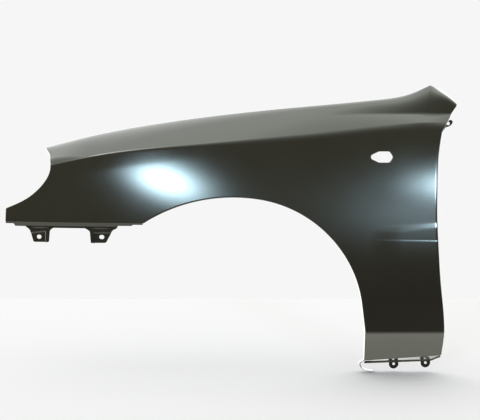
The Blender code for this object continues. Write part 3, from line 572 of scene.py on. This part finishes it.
def toward_ear(directions, edge, ear_start, ear_end):
    """The return flange's directions: toward the pillar ear they lean forward more and more, and those
    under it keep the lean and turn down evenly to its upper end."""
    run = run_along(edge)
    ease = blend(run, run[ear_start] - PILLAR_EAR_RAMP, run[ear_start])[:, None]
    leant = unit(directions - PILLAR_EAR_LEAN * ease * REARWARD)
    share = np.clip((run - run[ear_start]) / (run[ear_end] - run[ear_start]), 0.0, 1.0)[:, None]
    turned = unit(leant[ear_start] + PILLAR_EAR_TILT * share * DOWN)
    under_ear = (run >= run[ear_start]) & (run <= run[ear_end] + PILLAR_EAR_EASE)
    leant = np.where((run > run[ear_end])[:, None], directions, leant)
    return np.where(under_ear[:, None], turned, leant)


def evened(directions, edge, width=8.0):
    """Directions along an edge, each the mean of its neighbours' with a bell-shaped weight of length."""
    run = run_along(edge)
    weight = np.exp(-0.5 * ((run[:, None] - run) / width) ** 2)
    return unit(weight @ directions)


def ear(root, toward, reach, radius, rise=0.0):
    """A round-ended ear from a straight root, with its hole's centre: its middle moves toward and rises
    along the root, its half width eases from the root's to the radius, then follows a half circle."""
    across = unit(root[-1] - root[0])
    centre = (root[0] + root[-1]) / 2
    half_root = np.linalg.norm(root[-1] - root[0]) / 2
    spread = ((root - centre) @ across / half_root)[:, None]
    rows = [root]
    for t in np.linspace(0.0, 1.0, EAR_STALK_ROWS)[1:]:
        ease = blend(t, 0.0, 1.0)
        middle = centre + toward * reach * t + across * rise * ease
        rows.append(middle + across * spread * mix(half_root, radius, ease))
    for angle in EAR_END_ANGLES:
        middle = centre + toward * (reach + radius * math.sin(angle)) + across * rise
        rows.append(middle + across * spread * radius * math.cos(angle))
    return np.stack(rows), centre + toward * reach + across * rise


def bumper_tab(root, tab):
    """A tapered tab: its two sides follow a square to the neck and straight lines to the tip, and an even
    step in from one side and from the top makes the seat."""
    left, right = tab["root"]
    share = (root[:, 0] - left) / (right - left)
    slope = (root[-1, 1] - root[0, 1]) / (root[-1, 0] - root[0, 0])
    last = TAB_LENGTH - TAB_CORNER
    rounding = last + TAB_CORNER * TAB_CORNER_STEPS
    drop = np.concatenate((np.linspace(0.0, last, TAB_ROWS), rounding))
    flare = np.clip(1.0 - drop / TAB_NECK, 0.0, None) ** 2
    taper = np.clip((drop - TAB_NECK) / (TAB_LENGTH - TAB_NECK), 0.0, None)
    narrow = TAB_CORNER - np.sqrt(TAB_CORNER ** 2 - np.clip(drop - last, 0.0, TAB_CORNER) ** 2)
    low = mix(tab["neck"][0], tab["tip"][0], taper) + flare * (left - tab["neck"][0]) + narrow
    high = mix(tab["neck"][1], tab["tip"][1], taper) + flare * (right - tab["neck"][1]) - narrow
    x = low[:, None] + (high - low)[:, None] * share
    x[0] = root[:, 0]
    top = mix(*tab["top"], share)
    first, second, third, fourth = tab["seat"]
    seat = blend(drop[:, None], top, top + SEAT_WALL)
    seat = seat * blend(share, first, second) * (1.0 - blend(share, third, fourth))
    y = root[0, 1] + slope * (x - left) + SEAT_DEPTH * seat
    y[0] = root[:, 1]
    z = root[:, 2] - drop[:, None]
    hole_x, hole_drop = tab["hole"]
    hole = np.array((hole_x, root[0, 1] + slope * (hole_x - left) + SEAT_DEPTH, root[0, 2] - hole_drop))
    return np.stack((x, y, z), axis=-1), hole, unit(np.array((slope, -1.0, 0.0)))


def pad_height(x):
    """Height of the hood flange: flat at each bolt pad, straight between pads."""
    knots = [(HOOD_LINE[0][0], hood_height(HOOD_LINE[0][0]) - HOOD_DROP)]
    for station in PAD_X:
        level = hood_height(station) - HOOD_DROP
        knots += [(station - PAD_HALF_LENGTH, level), (station + PAD_HALF_LENGTH, level)]
    knots.append((HOOD_LINE[-1][0], hood_height(HOOD_LINE[-1][0]) - HOOD_DROP))
    return np.interp(x, *np.array(knots, dtype=float).T)


def hood_flange(edge, direction):
    """A wall down from the hood line and a flange inboard with flat pads, then the pillar's return."""
    over = fold(edge, direction, [(DOWN, HOOD_BEND, 0.0, 0)])
    wall = over[-1][:, 2] - pad_height(edge[:, 0]) - BEND
    peak_x = HOOD_LINE[-1][0]
    start = blend(edge[:, 0], edge[0, 0], edge[0, 0] + CORNER_TAPER)
    share = start * blend(-edge[:, 0], -peak_x, -peak_x + HOOD_FLANGE_FADE)
    returned = blend(edge[:, 0], peak_x, peak_x + CORNER_TAPER)
    returned = returned * blend(-edge[:, 0], -edge[-1, 0], -edge[-1, 0] + CORNER_TAPER)
    wall = mix(SHORTEST_FLANGE, wall, share) + PILLAR_RETURN * returned
    width = mix(SHORTEST_FLANGE, HOOD_FLANGE, share)
    down = np.broadcast_to(DOWN, edge.shape)
    rest = fold(over[-1], down, [(DOWN, 0.0, wall, 3), (INBOARD, BEND, width, 4)])
    return np.concatenate((over, rest[1:]))


def bumper_flange(edge, inner):
    """A sloped wall and a lip under the front bottom edge: their lengths run straight between stations."""
    sloped = math.cos(BUMPER_WALL_SLOPE) * INBOARD + math.sin(BUMPER_WALL_SLOPE) * DOWN
    step = SHORTEST_FLANGE + BEND
    lip_start, lip_end = TABS[0]["root"][0], TABS[1]["root"][1]
    first, last = BUMPER_X
    short = SHORTEST_FLANGE
    wall = np.interp(edge[:, 0], (first - step, first, lip_end, lip_end + step, last, last + step),
                     (short, BUMPER_WALL, BUMPER_WALL, BUMPER_WALL_REAR, BUMPER_WALL_REAR, short))
    lip = np.interp(edge[:, 0], (lip_start - step, lip_start, lip_end, lip_end + step),
                    (short, BUMPER_LIP, BUMPER_LIP, short))
    return fold(edge, leaving(edge, inner), [(sloped, BEND, wall, 3), (DOWN, BEND, lip, 1)])


def sill_flange(edge, inner):
    """A flange that runs inboard and down from the sill band to a short upright lip."""
    share = (edge[:, 0] - edge[0, 0]) / (edge[-1, 0] - edge[0, 0])
    drop = mix(*SILL_FLANGE_DROP, share)
    toward = np.stack((0.0 * drop, SILL_FLANGE_RUN + 0.0 * drop, -drop), axis=1)
    reach = np.linalg.norm(toward, axis=1)
    carried = SILL_EARS[-1] + EAR_RADIUS
    reach = np.where(edge[:, 0] < carried + 0.1, reach,
                     np.interp(edge[:, 0], (carried, edge[-1, 0]), (reach[-1], SILL_FLANGE_END)))
    grown = fold(edge, leaving(edge, inner),
                 [(toward, BEND, reach, SILL_FLANGE_CELLS), (DOWN, BEND, SILL_LIP, 1)])
    return grown, unit(toward)


def rounded_outline(corners, radius, cells=6):
    """A polygon with each corner replaced by an arc: a chord's points pushed out to the radius."""
    corner = np.array(corners, dtype=float)
    before = unit(np.roll(corner, 1, axis=0) - corner)
    after = unit(np.roll(corner, -1, axis=0) - corner)
    half = np.arccos(np.sum(before * after, axis=1, keepdims=True)) / 2
    middle = corner + unit(before + after) * radius / np.sin(half)
    run = radius / np.tan(half)
    start = (corner + before * run - middle)[:, None]
    end = (corner + after * run - middle)[:, None]
    t = np.linspace(0.0, 1.0, cells + 1)[:, None]
    return (middle[:, None] + radius * unit(mix(start, end, t))).reshape(-1, 2)


def slot_outline(length, width, cells=15):
    """Two half circles joined by straight sides."""
    angle = np.linspace(-math.pi / 2, math.pi / 2, cells + 1)
    half = np.stack(((length - width) / 2 + np.cos(angle) * width / 2, np.sin(angle) * width / 2), axis=1)
    return np.concatenate((half, -half))


def round_outline(diameter, cells=32):
    """A circle as a many-sided polygon."""
    angle = (np.arange(cells) + 0.5) * 2.0 * math.pi / cells
    return np.stack((np.cos(angle), np.sin(angle)), axis=1) * diameter / 2


PANEL_ORIGIN = np.array((ORIGIN_PAD_X, float(hood_depth(ORIGIN_PAD_X)) + PAD_HOLE_INSET,
                         float(pad_height(ORIGIN_PAD_X)) - SHEET))


def placed(points):
    """From millimetres at the wheel's centre to metres at the panel's origin."""
    return (np.asarray(points, dtype=float) - PANEL_ORIGIN) * MM


def hole_cutter(name, outline, centre, normal, across):
    """A prism on an outline, square to the sheet at a hole: two caps and a ring of sides."""
    normal = unit(np.asarray(normal, dtype=float))
    across = unit(across - np.dot(across, normal) * normal)
    middle = centre + outline @ np.stack((across, np.cross(normal, across)))
    points = np.concatenate((middle - CUTTER_REACH * normal, middle + CUTTER_REACH * normal))
    count = len(outline)
    ring = np.arange(count)
    after = np.roll(ring, -1)
    sides = np.stack((ring, after, after + count, ring + count), axis=1)
    faces = [ring[::-1].tolist(), (ring + count).tolist()] + sides.tolist()
    mesh = bpy.data.meshes.new(name)
    mesh.from_pydata(placed(points).tolist(), [], faces)
    return bpy.data.objects.new(name, mesh)


def panel_grids():
    """Every grid of the pressed sheet, and its holes as (name, outline, centre, normal, across)."""
    side, u, arch_start, sill_start = side_patch()
    skin = np.concatenate((side, shoulder_patch(side[-1], u)))
    sill = sill_patch(side[0, sill_start:])
    into = inward(skin)
    into_sill = inward(sill[::-1])[::-1]

    bumper = bumper_flange(side[0, :arch_start + 1], side[1, :arch_start + 1])
    arch_line = np.concatenate((side[0, arch_start:sill_start + 1], sill[1:, 0]))
    arch_inner = np.concatenate((side[1, arch_start:sill_start + 1], sill[1:, 1]))
    arch = fold(arch_line, leaving(arch_line, arch_inner),
                [(INBOARD, BEND, tapered(arch_line, ARCH_FLANGE, at_end=False), 4)])
    lamp_line = skin[:, 0]
    lamp = fold(lamp_line, leaving(lamp_line, skin[:, 1]),
                [(evened(into[:, 0], lamp_line), BEND, tapered(lamp_line, LAMP_FLANGE), 3)])
    door_line = np.concatenate((sill[:0:-1, -1], skin[:, -1]))
    door_inner = np.concatenate((sill[:0:-1, -2], skin[:, -2]))
    door_into = np.concatenate((into_sill[:0:-1, -1], into[:, -1]))
    crease_z = float(crease_height(door_edge(CREASE[-1][1])))
    ear_start, ear_end = (int(np.argmin(np.abs(door_line[:, 2] - crease_z + drop)))
                          for drop in (PILLAR_EAR_DROP, 0.0))
    door_into = toward_ear(evened(door_into, door_line), door_line, ear_start, ear_end)
    door = fold(door_line, leaving(door_line, door_inner),
                [(door_into, BEND, door_flange_lengths(door_line, ear_start, ear_end), 3)])
    hood = hood_flange(skin[-1], leaving(skin[-1], skin[-2]))
    under, under_slope = sill_flange(sill[-1], sill[-2])

    foot = arch[:, -1]
    path = np.concatenate((np.zeros((1, 2)), np.array(CURL)))
    knots = np.arange(len(path))
    fine = np.linspace(0, len(path) - 1, CURL_ROWS)
    steps = np.stack([smooth_curve(list(zip(knots, path[:, k])))(fine) for k in range(2)], axis=1)
    curl = foot + np.stack((steps[:, 0], 0.0 * fine, steps[:, 1]), axis=1)[:, None, :]

    grids = [skin, sill, bumper, arch, lamp, door, hood, under, curl]
    holes = []
    bottom_x = side[0, :, 0]
    for name, tab in zip(("front_tab", "rear_tab"), TABS):
        first, last = (int(np.argmin(np.abs(bottom_x[:arch_start] - x))) for x in tab["root"])
        grid, hole, normal = bumper_tab(bumper[-1, first:last + 1], tab)
        grids.append(grid)
        holes.append((name + "_hole", slot_outline(*TAB_HOLE), hole, normal, REARWARD))
    sill_x = side[0, sill_start:, 0]
    for k, x in enumerate(SILL_EARS):
        shifts = (-EAR_RADIUS, 0.0, EAR_RADIUS)
        first, middle, last = (int(np.argmin(np.abs(sill_x - x - shift))) for shift in shifts)
        grid, hole = ear(under[-1, first:last + 1], DOWN, EAR_REACH, EAR_RADIUS)
        grids.append(grid)
        holes.append((f"sill_ear_hole_{k + 1}", round_outline(EAR_HOLE), hole, INBOARD, REARWARD))
        relief = (under[BEND_CELLS, middle] + under[BEND_CELLS + SILL_FLANGE_CELLS, middle]) / 2
        square = np.cross(REARWARD, under_slope[middle])
        holes.append((f"sill_relief_{k + 1}", slot_outline(*RELIEF), relief, square, REARWARD))
    rows = slice(ear_start, ear_end + 1)
    turned = fold(door[-1, rows], door_into[rows], [(REARWARD, BEND, 0.0, 0)])
    grid, hole = ear(turned[-1], REARWARD, PILLAR_EAR_REACH, PILLAR_EAR_RADIUS, PILLAR_EAR_RISE)
    grids += [turned, grid]
    holes.append(("pillar_ear_hole", round_outline(PILLAR_EAR_HOLE), hole, INBOARD, REARWARD))

    for k, x in enumerate(PAD_X):
        centre = np.array((x, float(hood_depth(x)) + PAD_HOLE_INSET, float(pad_height(x))))
        if x == ORIGIN_PAD_X:
            for side_name, shift in (("front", -0.5), ("rear", 0.5)):
                spot = centre + shift * ORIGIN_PAD_SPACING * REARWARD
                holes.append((f"hood_pad_{k + 1}_{side_name}_hole", round_outline(ORIGIN_PAD_HOLE), spot,
                              DOWN, REARWARD))
        else:
            holes.append((f"hood_pad_{k + 1}_hole", round_outline(PAD_HOLE), centre, DOWN, REARWARD))
    x, z = LAMP_HOLE_CENTRE
    half, rise = LAMP_HOLE_LENGTH / 2, LAMP_HOLE_HEIGHT / 2
    flat = LAMP_HOLE_FLAT
    corners = ((-half, LAMP_HOLE_BLUNT), (-half, -LAMP_HOLE_BLUNT), (flat[0], -rise), (flat[1], -rise),
               (half, 0.0), (flat[1], rise), (flat[0], rise))
    holes.append(("side_marker_hole", rounded_outline(corners, LAMP_HOLE_CORNER),
                  np.array((x, float(side_depth(x, z)), z)), -INBOARD, REARWARD))
    return grids, holes


def pressed_panel():
    """The whole sheet: grids joined at their shared edges, turned to face the road, thickened to the hidden
    side, then pierced."""
    grids, holes = panel_grids()
    points = []
    faces = []
    start = 0
    for grid in grids:
        rows, columns = grid.shape[:2]
        index = start + np.arange(rows * columns).reshape(rows, columns)
        corners = (index[:-1, :-1], index[:-1, 1:], index[1:, 1:], index[1:, :-1])
        faces.append(np.stack(corners, axis=-1).reshape(-1, 4))
        points.append(grid.reshape(-1, 3))
        start += rows * columns
    mesh = bpy.data.meshes.new("pressed_panel")
    mesh.from_pydata(placed(np.concatenate(points)).tolist(), [], np.concatenate(faces).tolist())
    bm = bmesh.new()
    bm.from_mesh(mesh)
    bmesh.ops.remove_doubles(bm, verts=bm.verts, dist=JOIN_DISTANCE * MM)
    bmesh.ops.recalc_face_normals(bm, faces=bm.faces)
    bm.to_mesh(mesh)
    bm.free()
    normals = np.empty(3 * len(mesh.polygons))
    areas = np.empty(len(mesh.polygons))
    mesh.polygons.foreach_get("normal", normals)
    mesh.polygons.foreach_get("area", areas)
    if np.dot(normals[1::3], areas) > 0.0:
        mesh.flip_normals()
    panel = bpy.data.objects.new("pressed_panel", mesh)
    bpy.context.scene.collection.objects.link(panel)
    panel.data.shade_smooth()

    cutters = bpy.data.collections.new("hole_cutters")
    bpy.context.scene.collection.children.link(cutters)
    for hole in holes:
        cutters.objects.link(hole_cutter(*hole))
    wall = panel.modifiers.new("sheet", "SOLIDIFY")
    wall.thickness = SHEET * MM
    wall.offset = -1.0
    wall.use_even_offset = True
    cut = panel.modifiers.new("holes", "BOOLEAN")
    cut.operation = "DIFFERENCE"
    cut.operand_type = "COLLECTION"
    cut.collection = cutters
    cut.solver = "EXACT"
    finished = bpy.data.meshes.new_from_object(panel.evaluated_get(bpy.context.evaluated_depsgraph_get()))
    panel.modifiers.clear()
    panel.data = finished
    for cutter in list(cutters.objects):
        bpy.data.objects.remove(cutter, do_unlink=True)
    bpy.data.collections.remove(cutters)
    finished.name = "pressed_panel"
    finished.shade_smooth()
    finished.set_sharp_from_angle(angle=SHARP_ANGLE)
    return panel


# The coat: two film tones, the gloss they go with, and a fine peel; each noise has a scale and a detail
COAT_TONES = ((0.016, 0.0125, 0.0080, 1.0), (0.022, 0.0175, 0.0120, 1.0))
COAT_ROUGHNESS = (0.10, 0.14)
CLEAR_COAT = (0.6, 0.06)
REFRACTION = 1.5
FILM_NOISE = (7.0, 3.0)
FILM_RANGE = (0.3, 0.7)
PEEL_NOISE = (420.0, 2.0)
PEEL_STRENGTH = 0.12
PEEL_DEPTH = 0.2


def noise(tree, scale, detail):
    """A noise over the object's own coordinates."""
    place = tree.nodes.new("ShaderNodeTexCoord")
    texture = tree.nodes.new("ShaderNodeTexNoise")
    texture.inputs["Scale"].default_value = scale
    texture.inputs["Detail"].default_value = detail
    tree.links.new(place.outputs["Object"], texture.inputs["Vector"])
    return texture.outputs["Fac"]


def e_coat():
    """Black electro-dip primer: a warm black film with a satin gloss and a fine orange peel."""
    material = bpy.data.materials.new("e_coat_black")
    material.use_nodes = True
    tree = material.node_tree
    shader = tree.nodes["Principled BSDF"]
    shader.inputs["Metallic"].default_value = 0.0
    shader.inputs["IOR"].default_value = REFRACTION
    shader.inputs["Coat Weight"].default_value, shader.inputs["Coat Roughness"].default_value = CLEAR_COAT

    film = noise(tree, *FILM_NOISE)
    tone = tree.nodes.new("ShaderNodeMix")
    tone.data_type = "RGBA"
    tone.inputs["A"].default_value, tone.inputs["B"].default_value = COAT_TONES
    tree.links.new(film, tone.inputs["Factor"])
    tree.links.new(tone.outputs["Result"], shader.inputs["Base Color"])

    gloss = tree.nodes.new("ShaderNodeMapRange")
    gloss.inputs["From Min"].default_value, gloss.inputs["From Max"].default_value = FILM_RANGE
    gloss.inputs["To Min"].default_value, gloss.inputs["To Max"].default_value = COAT_ROUGHNESS
    tree.links.new(film, gloss.inputs["Value"])
    tree.links.new(gloss.outputs["Result"], shader.inputs["Roughness"])

    bump = tree.nodes.new("ShaderNodeBump")
    bump.inputs["Strength"].default_value = PEEL_STRENGTH
    bump.inputs["Distance"].default_value = PEEL_DEPTH * MM
    tree.links.new(noise(tree, *PEEL_NOISE), bump.inputs["Height"])
    tree.links.new(bump.outputs["Normal"], shader.inputs["Normal"])
    return material


# The camera, where the photograph was taken from; the picture's width is measured at the aim
CAMERA_RISE = math.radians(3.5)
CAMERA_DISTANCE = 3000.0
CAMERA_AIM = (2.0, 0.0, 280.0)
PICTURE_WIDTH = 1209.6
SENSOR_WIDTH = 36.0
CLIP_END = 50.0


def add_camera():
    """A camera as far off as the sensor's and the picture's widths ask, a little above and level across."""
    aim = placed(CAMERA_AIM)
    camera = bpy.data.objects.new("camera", bpy.data.cameras.new("camera"))
    bpy.context.scene.collection.objects.link(camera)
    camera.data.sensor_fit = "HORIZONTAL"
    camera.data.sensor_width = SENSOR_WIDTH
    camera.data.lens = SENSOR_WIDTH * CAMERA_DISTANCE / PICTURE_WIDTH
    camera.data.clip_end = CLIP_END
    back = np.array((0.0, -math.cos(CAMERA_RISE), math.sin(CAMERA_RISE)))
    camera.location = aim + back * CAMERA_DISTANCE * MM
    camera.rotation_euler = Vector(back).to_track_quat("Z", "Y").to_euler()
    bpy.context.scene.camera = camera


# The room the coat mirrors: angle up from the front horizon and over the top, level, red and blue tint
ROOM = ((-180.0, 1.7, 1.0, 0.98), (-120.0, 1.7, 1.0, 0.97), (-95.0, 0.8, 0.97, 0.9),
        (-75.0, 1.0, 0.96, 0.86), (-57.0, 2.3, 0.96, 0.86), (-42.0, 0.6, 1.0, 0.9), (-30.0, 0.12, 1.0, 0.9),
        (-18.0, 0.08, 1.0, 0.85), (-8.0, 0.16, 1.0, 0.8), (4.0, 0.26, 1.0, 0.75), (18.0, 0.26, 1.0, 0.7),
        (48.0, 0.45, 0.98, 0.86), (62.0, 0.65, 0.96, 0.88), (80.0, 1.0, 0.94, 0.9), (100.0, 1.45, 0.94, 0.9),
        (116.0, 1.7, 0.94, 0.9), (130.0, 1.2, 0.94, 0.92), (144.0, 1.45, 0.97, 0.97), (158.0, 2.2, 1.0, 1.0),
        (180.0, 2.2, 1.0, 1.0))
# Soft windows in it: sideways and upward angle of the middle, reach along and across, turn, level
WINDOWS = (((-20.7, 11.5), (7.6, 3.4), -21.0, 37.0), ((14.6, 10.2), (2.55, 2.7), 0.0, 66.0),
           ((-20.5, 11.0), (13.0, 6.0), -20.0, 1.6), ((10.8, 3.2), (3.8, 5.8), 0.0, 2.4))
WINDOW_TINT = (0.70, 1.0, 1.15)
# Their upper edge: its height, its rise for each degree sideways, and its half softness
WINDOW_TOP = (17.4, 0.07, 0.2)
# How pale the background is where the camera looks past the panel
PALE = 0.922


def calculated(tree, operation, *values):
    """One arithmetic node's result; each value is a number or another node's result."""
    node = tree.nodes.new("ShaderNodeMath")
    node.operation = operation
    for socket, value in zip(node.inputs, values):
        if isinstance(value, float):
            socket.default_value = value
        else:
            tree.links.new(value, socket)
    return node.outputs["Value"]


def window(tree, side, rise, middle, reach, turn, level):
    """level * exp(-(p / along)^2 - (q / across)^2), with p and q the angles from the middle, turned."""
    p = calculated(tree, "SUBTRACT", side, middle[0])
    q = calculated(tree, "SUBTRACT", rise, middle[1])
    cos, sin = math.cos(math.radians(turn)), math.sin(math.radians(turn))
    squares = []
    for (a, b), scale in zip(((cos, sin), (-sin, cos)), reach):
        share = calculated(tree, "MULTIPLY_ADD", q, b / scale, calculated(tree, "MULTIPLY", p, a / scale))
        squares.append(calculated(tree, "MULTIPLY", share, share))
    total = calculated(tree, "ADD", *squares)
    fading = calculated(tree, "EXPONENT", calculated(tree, "MULTIPLY", total, -1.0))
    return calculated(tree, "MULTIPLY", fading, level)


def add_surroundings():
    """Pale to the camera; to the coat a room that is dark in front and pale above, behind and below.
    The soft windows in front end at one height."""
    world = bpy.data.worlds.new("studio")
    bpy.context.scene.world = world
    world.use_nodes = True
    tree = world.node_tree
    tree.nodes.clear()
    place = tree.nodes.new("ShaderNodeTexCoord")
    split = tree.nodes.new("ShaderNodeSeparateXYZ")
    tree.links.new(place.outputs["Generated"], split.inputs["Vector"])
    ahead = calculated(tree, "MULTIPLY", split.outputs["Y"], -1.0)
    angle = calculated(tree, "ARCTAN2", split.outputs["Z"], ahead)
    rise = calculated(tree, "DEGREES", angle)
    side = calculated(tree, "DEGREES", calculated(tree, "ARCSINE", split.outputs["X"]))

    ramp = tree.nodes.new("ShaderNodeValToRGB")
    tree.links.new(calculated(tree, "MULTIPLY_ADD", rise, 1.0 / 360.0, 0.5), ramp.inputs["Fac"])
    elements = ramp.color_ramp.elements
    brightest = max(level for _, level, _, _ in ROOM)
    for k, (degrees, level, red, blue) in enumerate(ROOM):
        position = (degrees + 180.0) / 360.0
        element = elements[0] if k == 0 else elements.new(position) if k < len(ROOM) - 1 else elements[-1]
        element.position = position
        element.color = (level * red / brightest, level / brightest, level * blue / brightest, 1.0)
    colour = tree.nodes.new("ShaderNodeVectorMath")
    colour.operation = "SCALE"
    colour.inputs["Scale"].default_value = brightest
    tree.links.new(ramp.outputs["Color"], colour.inputs[0])

    top, lean, edge = WINDOW_TOP
    below = tree.nodes.new("ShaderNodeMapRange")
    below.interpolation_type = "SMOOTHSTEP"
    below.inputs["From Min"].default_value = top + edge
    below.inputs["From Max"].default_value = top - edge
    tree.links.new(calculated(tree, "MULTIPLY_ADD", side, -lean, rise), below.inputs["Value"])
    light = window(tree, side, rise, *WINDOWS[0])
    for values in WINDOWS[1:]:
        light = calculated(tree, "ADD", light, window(tree, side, rise, *values))
    light = calculated(tree, "MULTIPLY", light, below.outputs["Result"])
    tinted = tree.nodes.new("ShaderNodeVectorMath")
    tinted.operation = "SCALE"
    tinted.inputs[0].default_value = WINDOW_TINT
    tree.links.new(light, tinted.inputs["Scale"])
    whole = tree.nodes.new("ShaderNodeVectorMath")
    tree.links.new(colour.outputs["Vector"], whole.inputs[0])
    tree.links.new(tinted.outputs["Vector"], whole.inputs[1])

    room = tree.nodes.new("ShaderNodeBackground")
    tree.links.new(whole.outputs["Vector"], room.inputs["Color"])
    seen = tree.nodes.new("ShaderNodeBackground")
    seen.inputs["Color"].default_value = (PALE, PALE, PALE, 1.0)
    path = tree.nodes.new("ShaderNodeLightPath")
    both = tree.nodes.new("ShaderNodeMixShader")
    tree.links.new(path.outputs["Is Camera Ray"], both.inputs["Fac"])
    tree.links.new(room.outputs["Background"], both.inputs[1])
    tree.links.new(seen.outputs["Background"], both.inputs[2])
    output = tree.nodes.new("ShaderNodeOutputWorld")
    tree.links.new(both.outputs["Shader"], output.inputs["Surface"])


# The floor, in metres
FLOOR_LEFT, FLOOR_RIGHT = -1.6, 1.6
FLOOR_FRONT, FLOOR_BACK = -1.1, 1.3
FLOOR_GAP = 0.004
FLOOR_COLOUR = (0.83, 0.78, 0.84, 1.0)
FLOOR_ROUGHNESS = 0.9


def add_floor():
    """A plain pale floor, just under the panel's lowest point."""
    low = cad_box[0][2] - FLOOR_GAP
    mesh = bpy.data.meshes.new("floor")
    corners = [(FLOOR_LEFT, FLOOR_FRONT, low), (FLOOR_RIGHT, FLOOR_FRONT, low),
               (FLOOR_RIGHT, FLOOR_BACK, low), (FLOOR_LEFT, FLOOR_BACK, low)]
    mesh.from_pydata(corners, [], [(0, 1, 2, 3)])
    floor = bpy.data.objects.new("floor", mesh)
    bpy.context.scene.collection.objects.link(floor)
    material = bpy.data.materials.new("pale_floor")
    material.use_nodes = True
    shader = material.node_tree.nodes["Principled BSDF"]
    shader.inputs["Base Color"].default_value = FLOOR_COLOUR
    shader.inputs["Roughness"].default_value = FLOOR_ROUGHNESS
    mesh.materials.append(material)
    floor.visible_glossy = False


panel = pressed_panel()
panel.data.materials.clear()
panel.data.materials.append(e_coat())
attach(panel, "root")
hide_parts("fender_panel")

add_camera()
add_surroundings()
add_floor()
bpy.context.scene.view_settings.view_transform = "Standard"
